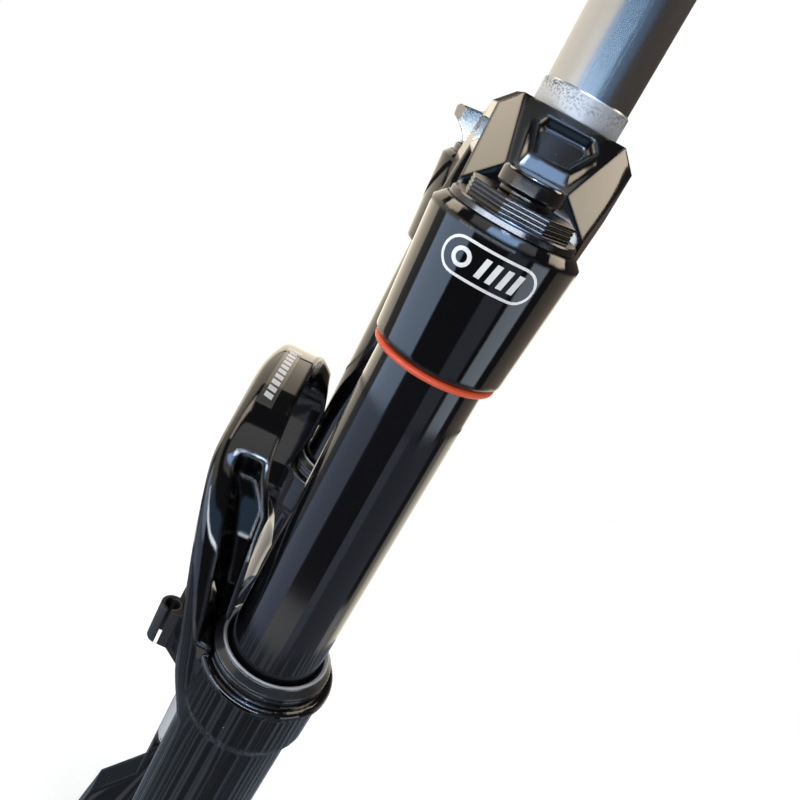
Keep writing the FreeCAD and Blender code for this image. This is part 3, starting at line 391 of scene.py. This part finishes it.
def build_groups():
    """The effects that several finishes share."""
    # Fine unevenness: a roughness that drifts, and a shallow height.
    group, start, end = new_group("fine_grain", [
        ("Scale", "NodeSocketFloat", 400.0), ("Stretch", "NodeSocketFloat", 1.0),
        ("Roughness", "NodeSocketFloat", 0.3), ("Drift", "NodeSocketFloat", 0.1)], [
        ("Roughness", "NodeSocketFloat"), ("Height", "NodeSocketFloat"), ("Patches", "NodeSocketFloat")])
    tree = Tree(group)
    squeeze = tree.node("ShaderNodeCombineXYZ", X=1.0, Y=1.0, Z=start.outputs["Stretch"]).outputs[0]
    scaled = tree.node("ShaderNodeVectorMath", {"operation": "MULTIPLY"},
                       i0=tree.place(), i1=squeeze).outputs[0]
    fine = tree.noise(scaled, start.outputs["Scale"], 4.0)
    patches = tree.noise(scaled, 38.0, 3.0)
    drift = tree.maths("MULTIPLY", tree.maths("SUBTRACT", patches, 0.5), start.outputs["Drift"])
    tree.put(end, "Roughness", tree.maths("ADD", start.outputs["Roughness"], drift, clamp=True))
    tree.put(end, "Height", fine)
    tree.put(end, "Patches", patches)

    # Dust: sparse pale specks that sit on the surface.
    group, start, end = new_group("dust_specks", [
        ("Scale", "NodeSocketFloat", 320.0), ("Amount", "NodeSocketFloat", 0.2)], [
        ("Mask", "NodeSocketFloat")])
    tree = Tree(group)
    cells = tree.node("ShaderNodeTexVoronoi", Vector=tree.place(), Scale=start.outputs["Scale"])
    specks = tree.spread(cells.outputs["Distance"], 0.05, 0.09, 1.0, 0.0)
    chosen = tree.node("ShaderNodeTexWhiteNoise", i0=cells.outputs["Position"]).outputs["Value"]
    few = tree.maths("LESS_THAN", chosen, start.outputs["Amount"])
    tree.put(end, "Mask", tree.maths("MULTIPLY", specks, few))

    # Rounded edges: the surface's normal as if its corners had a small radius.
    group, start, end = new_group("soft_edges", [
        ("Radius", "NodeSocketFloat", 0.0006), ("Height", "NodeSocketFloat", 0.0),
        ("Bump", "NodeSocketFloat", 0.1)], [("Normal", "NodeSocketVector")])
    tree = Tree(group)
    bevel = tree.node("ShaderNodeBevel", {"samples": 12}, Radius=start.outputs["Radius"])
    bump = tree.node("ShaderNodeBump", Strength=start.outputs["Bump"], Distance=0.0002,
                     Height=start.outputs["Height"], Normal=bevel.outputs[0])
    tree.put(end, "Normal", bump.outputs[0])


def finish(name, colour, roughness, metallic=0.0, coat=0.0, specular=0.5, edge=0.0006,
           grain=400.0, stretch=1.0, drift=0.1, bump=0.08, dust=0.0):
    """Makes a finish from the shared groups. Returns its tree, its shader and its grain.

    edge is the radius of the soft edges, or a function that gives one which changes over the surface.
    """
    material, tree = new_material(name + "_finish")
    FINISHES[name] = material
    shader = tree.node("ShaderNodeBsdfPrincipled")
    tree.node("ShaderNodeOutputMaterial", Surface=shader.outputs[0])
    shader.inputs["Metallic"].default_value = metallic
    shader.inputs["Coat Weight"].default_value = coat
    shader.inputs["Coat Roughness"].default_value = COAT_ROUGHNESS
    shader.inputs["Specular IOR Level"].default_value = specular
    fine = tree.node("ShaderNodeGroup", {"node_tree": bpy.data.node_groups["fine_grain"]},
                     Scale=grain, Stretch=stretch, Roughness=roughness, Drift=drift)
    soft = tree.node("ShaderNodeGroup", {"node_tree": bpy.data.node_groups["soft_edges"]},
                     Radius=edge(tree) if callable(edge) else edge, Height=fine.outputs["Height"], Bump=bump)
    shade = tree.spread(fine.outputs["Patches"], 0.3, 0.7, 0.85, 1.15)
    tinted = tree.node("ShaderNodeVectorMath", {"operation": "SCALE"},
                       i0=tuple(colour), Scale=shade).outputs[0]
    if dust:
        specks = tree.node("ShaderNodeGroup", {"node_tree": bpy.data.node_groups["dust_specks"]},
                           Amount=dust)
        tinted = tree.mix_colours(specks.outputs["Mask"], tinted, DUST_COLOUR)
    tree.put(shader, "Base Color", tinted)
    tree.put(shader, "Roughness", fine.outputs["Roughness"])
    tree.put(shader, "Normal", soft.outputs["Normal"])
    return tree, shader, fine


def tint_over(tree, shader, share, colour):
    """Lays a colour over the finish's own, by a share that changes over the surface."""
    under = shader.inputs["Base Color"].links[0].from_socket
    tree.put(shader, "Base Color", tree.mix_colours(share, under, colour))


def steerer_finish(colour):
    """Drawn grey tube with lengthwise marks, and a bright turned race seat with a scuffed upper edge."""
    tree, shader, fine = finish("steerer_alloy", colour, 0.27, metallic=1.0, grain=900.0,
                                stretch=0.03, drift=0.16, bump=0.2, edge=0.0004)
    place = tree.place()
    height = tree.node("ShaderNodeSeparateXYZ", i0=place).outputs["Z"]
    wobble = tree.maths("SUBTRACT", tree.noise(place, 420.0, 6.0, 0.7), 0.5)
    edge = tree.maths("ADD", height, tree.maths("MULTIPLY", wobble, SEAT_WOBBLE))
    seat = tree.spread(edge, RACE_SEAT_TOP - SEAT_EDGE, RACE_SEAT_TOP, 1.0, 0.0)
    # Dark specks gather in clouds towards the seat's upper edge.
    clouded = tree.spread(tree.noise(place, 90.0, 5.0, 0.65), 0.42, 0.62)
    near_edge = tree.spread(height, RACE_SEAT_TOP - SEAT_SCUFFS, RACE_SEAT_TOP)
    specks = tree.maths("ADD", tree.noise(place, 1500.0, 3.0), tree.maths("MULTIPLY", near_edge, 0.16))
    speckled = tree.maths("MULTIPLY", tree.spread(specks, 0.6, 0.66), near_edge)
    scuffed = tree.maths("MULTIPLY", speckled, clouded)
    tint_over(tree, shader, seat, tree.mix_colours(scuffed, SEAT_COLOUR, SCUFF_COLOUR))
    tree.put(shader, "Roughness", tree.mix(seat, fine.outputs["Roughness"], SEAT_ROUGHNESS))
    tree.put(shader, "Metallic", tree.spread(seat, 0.0, 1.0, 1.0, SEAT_METALLIC))


def seal_finish():
    """Black rubber, with a painted highlight on its wiping lip: a thin pale line round the tube."""
    tree, shader, _ = finish("seal_rubber", (0.024, 0.025, 0.028), 0.2, grain=1400.0, bump=0.08,
                             edge=0.0008, drift=0.2, dust=0.12)
    split = tree.node("ShaderNodeSeparateXYZ", i0=tree.place()).outputs
    across = tree.maths("SUBTRACT", tree.maths("ABSOLUTE", split["X"]), (SEAL_LOW.x + SEAL_HIGH.x) / 2)
    along = tree.maths("SUBTRACT", split["Y"], (SEAL_LOW.y + SEAL_HIGH.y) / 2)
    radius = tree.length(tree.node("ShaderNodeCombineXYZ", X=across, Y=along).outputs[0])
    # Painted highlight: a pale ring of colour at the lip's radius, fading in below the seal's top.
    lip = tree.spread(tree.off(radius, LIP_RADIUS), *LIP_FADE, 1.0, 0.0)
    top = tree.spread(split["Z"], SEAL_HIGH.z - LIP_FOOT, SEAL_HIGH.z - LIP_TOP)
    tint_over(tree, shader, tree.maths("MULTIPLY", lip, top), LIP_HIGHLIGHT_COLOUR)


def casting_edges(tree):
    """Soft edges all over the lower casting, but not on the collars, which keep their own crisp roll."""
    height = tree.node("ShaderNodeSeparateXYZ", i0=tree.place()).outputs["Z"]
    return tree.spread(tree.off(height, COLLAR_ROLL), *ROLL_REACH, ROLL_EDGE, CASTING_EDGE)


def build_finishes(colours):
    """One finish for each material slot of the record, and for each print."""
    steerer_finish(colours.steerer)
    for name, edge in (("crown_paint", 0.002), ("lowers_paint", casting_edges)):
        finish(name, colours.paint, 0.045, edge=edge, grain=110.0, drift=0.04, bump=0.05, dust=0.05)
    finish("stanchion_anodised", colours.stanchion, 0.1, grain=900.0, stretch=0.04, drift=0.03,
           bump=0.01, edge=0.0003, dust=0.07)
    finish("cap_alloy", (0.07, 0.072, 0.078), 0.2, metallic=1.0, grain=1200.0, drift=0.15,
           bump=0.1, edge=0.0005)
    finish("oring_rubber", (0.012, 0.012, 0.012), 0.45, grain=900.0)
    finish("valve_brass", (0.55, 0.47, 0.3), 0.3, metallic=1.0, grain=900.0)
    finish("valve_cap_plastic", (0.006, 0.006, 0.007), 0.14, coat=0.5, grain=700.0, bump=0.03, edge=0.0006)
    finish("damper_alloy", (0.5, 0.51, 0.53), 0.35, metallic=1.0, grain=1100.0, stretch=4.0)
    finish("spindle_steel", (0.42, 0.42, 0.43), 0.3, metallic=1.0, grain=1100.0, stretch=4.0)
    finish("bolt_steel", (0.05, 0.05, 0.052), 0.38, metallic=1.0, grain=900.0, edge=0.0003)
    finish("lever_paint", (0.3, 0.31, 0.33), 0.13, metallic=1.0, grain=500.0, drift=0.2,
           bump=0.06, edge=0.001)
    seal_finish()
    finish("foam", (0.05, 0.05, 0.045), 0.9, grain=1500.0, bump=0.6, edge=0.0003)
    finish("bushing", (0.28, 0.22, 0.12), 0.4, metallic=1.0, grain=900.0, stretch=3.0)
    finish("shaft_chrome", (0.62, 0.63, 0.64), 0.1, metallic=1.0, grain=800.0, drift=0.04, bump=0.02)
    finish("piston_plastic", (0.6, 0.6, 0.57), 0.45, grain=800.0)
    finish("bumper_rubber", (0.015, 0.015, 0.016), 0.6, grain=700.0, bump=0.3)
    finish("guide_plastic", (0.012, 0.012, 0.013), 0.34, grain=900.0, bump=0.22, drift=0.2, edge=0.0006)
    finish("ring_orange", colours.travel_ring, 0.42, specular=0.4, grain=900.0, bump=0.15, edge=0.0003)
    finish("print_white", colours.print_white, 0.28, coat=0.8, grain=500.0, drift=0.06,
           bump=0.02, edge=0.0001)
    finish("print_grey", colours.print_grey, 0.24, coat=0.8, grain=2600.0, drift=0.06,
           bump=0.05, edge=0.0001)
    finish("print_dark", (0.035, 0.033, 0.03), 0.3, coat=0.8, grain=700.0, drift=0.1,
           bump=0.03, edge=0.0001)


# ---------------------------------------------------------------- printing laid on the CAD surfaces


def surface_of(node):
    """A tree that finds where a line meets the node's surface."""
    mesh = NODES[node].data
    return BVHTree.FromPolygons([v.co for v in mesh.vertices], [p.vertices for p in mesh.polygons])


def strip(first, second, across=1):
    """Rows of points from one edge line to the other. Both have as many points."""
    return [[a.lerp(b, k / across) for a, b in zip(first, second)] for k in range(across + 1)]


def line(start, end, steps):
    """Evenly spaced points from start to end."""
    start, end = Vector(start), Vector(end)
    return [start.lerp(end, k / steps) for k in range(steps + 1)]


def grid_faces(depth, width):
    """Quads of a grid of points, row after row, and the round of points along its rim."""
    quads = []
    for r in range(depth - 1):
        for c in range(width - 1):
            corner = r * width + c
            quads.append((corner, corner + 1, corner + width + 1, corner + width))
    rim = list(range(width))
    rim += [r * width + width - 1 for r in range(1, depth)]
    rim += [(depth - 1) * width + c for c in range(width - 2, -1, -1)]
    rim += [r * width for r in range(depth - 2, 0, -1)]
    return quads, rim


def lay_print(name, patches, aim, surface, material, body, lift=0):
    """Lays flat patches on a surface as a thin closed skin.

    aim turns a flat point into the start and the direction of a line towards the surface.
    """
    points, faces = [], []
    for rows in patches:
        lower, upper = [], []
        for flat in (flat for row in rows for flat in row):
            start, direction = aim(flat)
            hit, normal, _, _ = surface.ray_cast(start, direction)
            if hit is None:
                raise RuntimeError("%s runs off its surface at %s" % (name, tuple(flat)))
            if normal.dot(direction) > 0:
                normal = -normal
            lower.append(hit - normal * PRINT_SINK)
            upper.append(hit + normal * (PRINT_DEPTH - PRINT_SINK + lift))
        base, count = len(points), len(lower)
        points += upper + lower
        quads, rim = grid_faces(len(rows), len(rows[0]))
        faces += [tuple(base + i for i in q) for q in quads]
        faces += [tuple(base + count + i for i in reversed(q)) for q in quads]
        for k, near in enumerate(rim):
            far = rim[(k + 1) % len(rim)]
            faces.append((base + far, base + near, base + count + near, base + count + far))
    mesh = bpy.data.meshes.new(name)
    mesh.from_pydata([tuple(point) for point in points], [], faces)
    mesh.update()
    piece = bpy.data.objects.new(name, mesh)
    bpy.context.scene.collection.objects.link(piece)
    mesh.materials.append(FINISHES[material])
    weld = piece.modifiers.new("weld", "WELD")
    weld.merge_threshold = WELD_DISTANCE
    apply_modifiers(piece)
    face_outwards(piece)
    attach(piece, body)


def apply_modifiers(piece):
    """Turns what the modifiers make into the piece's own mesh."""
    depsgraph = bpy.context.evaluated_depsgraph_get()
    final = bpy.data.meshes.new_from_object(piece.evaluated_get(depsgraph))
    piece.modifiers.clear()
    piece.data = final


def face_outwards(piece):
    """Turns every face of a closed piece to the outside."""
    mesh = bmesh.new()
    mesh.from_mesh(piece.data)
    bmesh.ops.recalc_face_normals(mesh, faces=mesh.faces)
    mesh.to_mesh(piece.data)
    mesh.free()


def round_leg(side, turn):
    """Lines towards a leg's axis: x runs round the leg from its turn, y up it. side is 1 on the left leg."""
    axis = Vector((side * LEG_X, LEG_Y, 0))

    def aim(flat):
        angle = turn + flat.x / WRAP_RADIUS
        outwards = Vector((side * math.cos(angle), math.sin(angle), 0))
        return axis + outwards * RAY_START + Vector((0, 0, flat.y)), -outwards
    return aim


def pill(width, height, border):
    """The outline of a badge with round ends, as a strip."""
    steps = 12
    outlines = []
    for inset in (0, border):
        radius, reach = height / 2 - inset, (width - height) / 2
        edge = []
        for centre, start in ((reach, -90), (-reach, 90)):
            for k in range(steps + 1):
                angle = math.radians(start + 180 * k / steps)
                edge.append(Vector((centre + radius * math.cos(angle), radius * math.sin(angle), 0)))
        top = line(edge[steps], edge[steps + 1], 8)[1:-1]
        bottom = line(edge[-1], edge[0], 8)[1:-1]
        outlines.append(edge[:steps + 1] + top + edge[steps + 1:] + bottom + [edge[0]])
    return strip(*outlines)


def slanted_bar(left, right, foot, top, lean, steps):
    """A bar with a level foot and top, whose sides lean."""
    low = line((left, foot, 0), (right, foot, 0), steps)
    high = line((left + lean, top, 0), (right + lean, top, 0), steps)
    return strip(low, high, 4)


# ---------------------------------------------------------------- operators


class FORK_OT_finishes(Operator):
    """Give each CAD piece the finish of its material slot"""

    bl_idname = "fork.finishes"
    bl_label = "Finishes"

    def execute(self, context):
        build_groups()
        build_finishes(context.scene.fork_colours)
        for part in frame["record"]["subparts"]:
            for place in NODES[part["node"]].material_slots:
                place.material = FINISHES[part["material_slot"]]
        return {"FINISHED"}


class FORK_OT_badge(Operator):
    """Print the outlined badge on the left crown socket"""

    bl_idname = "fork.badge"
    bl_label = "Badge"

    def execute(self, context):
        sizes = context.scene.fork_badge
        middle = SOCKET_TOP - sizes.drop
        round_socket = round_leg(1, -sizes.turn)
        end, height = -sizes.width / 2, sizes.height
        rings = []
        for radius in (height * RING_RADIUS, height * RING_RADIUS - height * RING_WIDTH):
            angles = (math.tau * k / 24 for k in range(25))
            rings.append([Vector((end + height * RING_PLACE + radius * math.cos(angle),
                                  radius * math.sin(angle), 0)) for angle in angles])
        patches = [pill(sizes.width, height, sizes.border), strip(*rings)]
        for k in range(BADGE_BARS):
            left = end + height * (BADGE_BAR_PLACE + BADGE_BAR_PITCH * k)
            patches.append(slanted_bar(left, left + height * BADGE_BAR_WIDTH, -height * BADGE_BAR_REACH,
                                       height * BADGE_BAR_REACH, height * BADGE_BAR_LEAN, 1))
        lay_print("badge_print", patches, lambda p: round_socket(Vector((p.x, p.y + middle, 0))),
                  surface_of("crown"), "print_white", "uppers")
        return {"FINISHED"}


class FORK_OT_leg_prints(Operator):
    """Print the slanted bars and pale panels on both lower legs"""

    bl_idname = "fork.leg_prints"
    bl_label = "Leg prints"

    def execute(self, context):
        sizes = context.scene.fork_leg_prints
        surface = surface_of("lower_legs")
        for name, side in (("left", 1), ("right", -1)):
            aim = round_leg(side, -math.pi / 2)
            lay_print("panel_print_" + name, [self.panel(sizes)], aim, surface, "print_grey",
                      "lowers")
            lay_print("bar_print_" + name, self.bars(sizes), aim, surface, "print_white",
                      "lowers")
        return {"FINISHED"}

    def panel(self, sizes):
        """From the front line round to the inner side, with a slanted top and a pointed foot."""
        high, low = sizes.top - sizes.shoulder, sizes.foot
        fronts, inners = [], []
        for k in range(PANEL_STEPS + 1):
            share = k / PANEL_STEPS
            z = high + (low - high) * share
            taper = max(0.0, (share - PANEL_TAPER) / (1 - PANEL_TAPER)) ** PANEL_TAPER_POWER
            rise = sizes.shoulder * max(0.0, 1 - share * PANEL_TOP_PARTS) ** 2
            fronts.append(Vector((-sizes.gap, z, 0)))
            inner = -sizes.reach + (sizes.reach - sizes.gap - PANEL_POINT) * taper
            inners.append(Vector((inner, z + rise, 0)))
        return strip(fronts, inners, 8)

    def bars(self, sizes):
        """From just past the front line round to the outer side."""
        pitch = (sizes.top - sizes.shoulder - sizes.bar_foot) / sizes.bars
        patches = []
        for k in range(sizes.bars):
            foot = sizes.bar_foot + k * pitch
            edges = [line((sizes.gap, z, 0), (sizes.reach, z + sizes.shoulder, 0), 12)
                     for z in (foot, foot + pitch * LEG_BAR_SHARE)]
            patches.append(strip(*edges, 4))
        return patches


class FORK_OT_arch_prints(Operator):
    """Lay the small dark label with pale bars on top of the arch"""

    bl_idname = "fork.arch_prints"
    bl_label = "Arch prints"

    def execute(self, context):
        sizes = context.scene.fork_arch_label
        surface = surface_of("lower_legs")
        middle = LOWERS_LOW.y + sizes.back

        def aim(flat):
            return Vector((flat.x, middle + flat.y, 0)), Vector((0, 0, -1))

        edges = [line((sizes.right_end, y, 0), (sizes.left_end, y, 0), 24)
                 for y in (-sizes.width / 2, sizes.width / 2)]
        lay_print("arch_label", [strip(*edges, 6)], aim, surface, "print_dark", "lowers")
        patches = []
        for k in range(sizes.bars):
            left = sizes.right_end + sizes.margin + k * sizes.pitch
            patches.append(slanted_bar(left, left + sizes.bar_width, -sizes.bar_height / 2,
                                       sizes.bar_height / 2, sizes.bar_lean, 2))
        lay_print("arch_label_bars", patches, aim, surface, "print_white", "lowers",
                  PRINT_SINK)
        return {"FINISHED"}


def arc(radius, start, end):
    """Places on an arc round the middle, from one angle to another in degrees."""
    steps = max(2, round(abs(end - start) / CARD_STEP))
    angles = [math.radians(start + (end - start) * k / steps) for k in range(steps + 1)]
    return [(radius * math.cos(angle), radius * math.sin(angle)) for angle in angles]


def wall(radius, start, end, foot, top):
    """Points and faces of an upright curved wall."""
    points = [(x, y, height) for x, y in arc(radius, start, end) for height in (foot, top)]
    return points, [(k, k + 2, k + 3, k + 1) for k in range(0, len(points) - 2, 2)]


def sector(radius, start, end, height):
    """Points and the one face of a flat slice."""
    points = [(0, 0, height)] + [(x, y, height) for x, y in arc(radius, start, end)]
    return points, [tuple(range(len(points)))]


class FORK_OT_stage(Operator):
    """Set the pale floor, the soft studio light and the camera"""

    bl_idname = "fork.stage"
    bl_label = "Stage"

    def execute(self, context):
        sizes = context.scene.fork_stage
        scene = context.scene
        scene.view_settings.view_transform = "Standard"
        self.camera(scene)
        self.world(scene, sizes.world_level)
        self.floor(sizes.floor_radius)
        self.lamps()
        self.cards()
        return {"FINISHED"}

    def camera(self, scene):
        """Looks across the fork and a little down, from the left leg's outer side."""
        data = bpy.data.cameras.new("camera")
        data.sensor_width = SENSOR_WIDTH
        data.lens = CAMERA_LENS
        data.clip_start = CLIP_START
        camera = bpy.data.objects.new("camera", data)
        scene.collection.objects.link(camera)
        right, up = Vector(CAMERA_RIGHT), Vector(CAMERA_UP)
        turn = Matrix((right, up, right.cross(up))).transposed().to_4x4()
        camera.matrix_world = Matrix.Translation(CAMERA_PLACE) @ turn
        scene.camera = camera

    def world(self, scene, level):
        """White where it is seen, and a dimmer light on the fork."""
        world = bpy.data.worlds.new("studio")
        scene.world = world
        world.use_nodes = True
        world.node_tree.nodes.clear()
        tree = Tree(world.node_tree)
        sky = tree.node("ShaderNodeBackground", Color=WHITE, Strength=tree.mix(tree.seen(), level, 1.0))
        tree.node("ShaderNodeOutputWorld", Surface=sky.outputs[0])

    def floor(self, radius):
        """A round pale floor that fades to plain white, so that it ends without an edge."""
        mesh = bpy.data.meshes.new("floor")
        corners = [(radius * math.cos(math.tau * k / 64), radius * math.sin(math.tau * k / 64), 0)
                   for k in range(64)]
        mesh.from_pydata(corners, [], [tuple(range(64))])
        floor = bpy.data.objects.new("floor", mesh)
        floor.location.z = LOWERS_LOW.z - FLOOR_GAP
        bpy.context.scene.collection.objects.link(floor)
        material, tree = new_material("floor")
        seen = tree.seen()
        shader = tree.node("ShaderNodeBsdfPrincipled", Base_Color=FLOOR_COLOUR, Roughness=0.8)
        shader.inputs["Specular IOR Level"].default_value = 0.1
        lift = tree.node("ShaderNodeEmission", Color=WHITE,
                         Strength=tree.maths("MULTIPLY", seen, FLOOR_LIFT))
        both = tree.node("ShaderNodeAddShader", i0=shader.outputs[0], i1=lift.outputs[0])
        fade = tree.maths("MULTIPLY", seen, tree.spread(tree.length(tree.place()), *FLOOR_FADE))
        white = tree.node("ShaderNodeEmission", Color=WHITE, Strength=1.0)
        ends = tree.node("ShaderNodeMixShader", i0=fade, i1=both.outputs[0], i2=white.outputs[0])
        tree.node("ShaderNodeOutputMaterial", Surface=ends.outputs[0])
        mesh.materials.append(material)

    def lamps(self):
        """Soft lamps that light the fork but do not show in its gloss."""
        for name, turn, reach, height, size, radiance, colour in LAMPS:
            data = bpy.data.lights.new(name, "AREA")
            data.shape = "RECTANGLE"
            data.size, data.size_y = size
            data.energy = radiance * math.pi * size[0] * size[1]
            data.color = colour
            lamp = bpy.data.objects.new(name, data)
            angle = math.radians(turn)
            lamp.location = (reach * math.cos(angle), reach * math.sin(angle), height)
            towards = LAMP_AIM - lamp.location
            lamp.rotation_euler = towards.to_track_quat("-Z", "Y").to_euler()
            lamp.visible_glossy = False
            bpy.context.scene.collection.objects.link(lamp)

    def cards(self):
        """What the gloss finishes mirror: cards round the fork, over it and on its floor."""
        for name, start, end, foot, top, light in CARDS:
            self.card(name, *wall(CARD_RADIUS, start, end, foot, top), light)
        self.card("dark_wall", *wall(DARK_RADIUS, *ALL_ROUND, CARD_FOOT, OVERHEAD_HEIGHT), DARK_LIGHT)
        self.card("overhead_card", *sector(OVERHEAD_REACH, *OVERHEAD_TURN, OVERHEAD_HEIGHT), OVERHEAD_LIGHT)
        zenith = OVERHEAD_HEIGHT - ZENITH_GAP
        self.card("zenith_card", *sector(ZENITH_REACH, *ALL_ROUND, zenith), ZENITH_LIGHT)
        ground = LOWERS_LOW.z + FLOOR_CARD_GAP
        self.card("floor_card", *sector(CARD_RADIUS, *ALL_ROUND, ground), FLOOR_CARD_LIGHT)
        self.card("floor_streaks", *self.streaks(ground + STREAK_GAP), STREAK_LIGHT)

    def streaks(self, height):
        """Bright streaks on the floor, which the legs mirror as lengthwise lines."""
        chance = random.Random(STREAK_SEED)
        narrow, extra = STREAK_WIDTH
        points, faces = [], []
        for k in range(STREAKS):
            start = 360 * (k + chance.random() * STREAK_SCATTER) / STREAKS
            end = start + narrow + extra * chance.random() ** 2
            slice_points, _ = sector(CARD_RADIUS, start, end, height)
            faces.append(tuple(range(len(points), len(points) + len(slice_points))))
            points += slice_points
        return points, faces

    def card(self, name, points, faces, light):
        """A glowing card that only reflections show."""
        mesh = bpy.data.meshes.new(name)
        mesh.from_pydata(points, [], faces)
        card = bpy.data.objects.new(name, mesh)
        card.location = (*CARD_MIDDLE, 0)
        bpy.context.scene.collection.objects.link(card)
        material, tree = new_material(name)
        glow = tree.node("ShaderNodeEmission", Color=(*light, 1), Strength=1.0)
        tree.node("ShaderNodeOutputMaterial", Surface=glow.outputs[0])
        mesh.materials.append(material)
        card.visible_camera = False
        card.visible_diffuse = False
        card.visible_shadow = False


class FORK_PT_sidebar(Panel):
    """Lists the fork's operators and sizes"""

    bl_idname = "FORK_PT_sidebar"
    bl_label = "Suspension Fork"
    bl_space_type = "VIEW_3D"
    bl_region_type = "UI"
    bl_category = "Fork"

    def draw(self, context):
        for operator in OPERATORS:
            self.layout.operator(operator.bl_idname)
        for holder, _ in HOLDERS:
            group = getattr(context.scene, holder)
            box = self.layout.box()
            for name in type(group).__annotations__:
                box.prop(group, name)


OPERATORS = (FORK_OT_finishes, FORK_OT_badge, FORK_OT_leg_prints, FORK_OT_arch_prints, FORK_OT_stage)
HOLDERS = (
    ("fork_colours", ForkColours),
    ("fork_badge", BadgeSizes),
    ("fork_leg_prints", LegPrintSizes),
    ("fork_arch_label", ArchLabelSizes),
    ("fork_stage", StageSizes),
)


def register():
    for _, kind in HOLDERS:
        bpy.utils.register_class(kind)
    for kind in (*OPERATORS, FORK_PT_sidebar):
        bpy.utils.register_class(kind)
    for holder, kind in HOLDERS:
        setattr(bpy.types.Scene, holder, PointerProperty(type=kind))


def unregister():
    for holder, kind in HOLDERS:
        delattr(bpy.types.Scene, holder)
        bpy.utils.unregister_class(kind)
    for kind in (FORK_PT_sidebar, *OPERATORS):
        bpy.utils.unregister_class(kind)


def main():
    register()
    for operator in OPERATORS:
        group, name = operator.bl_idname.split(".")
        getattr(getattr(bpy.ops, group), name)()


if __name__ == "__main__":
    main()
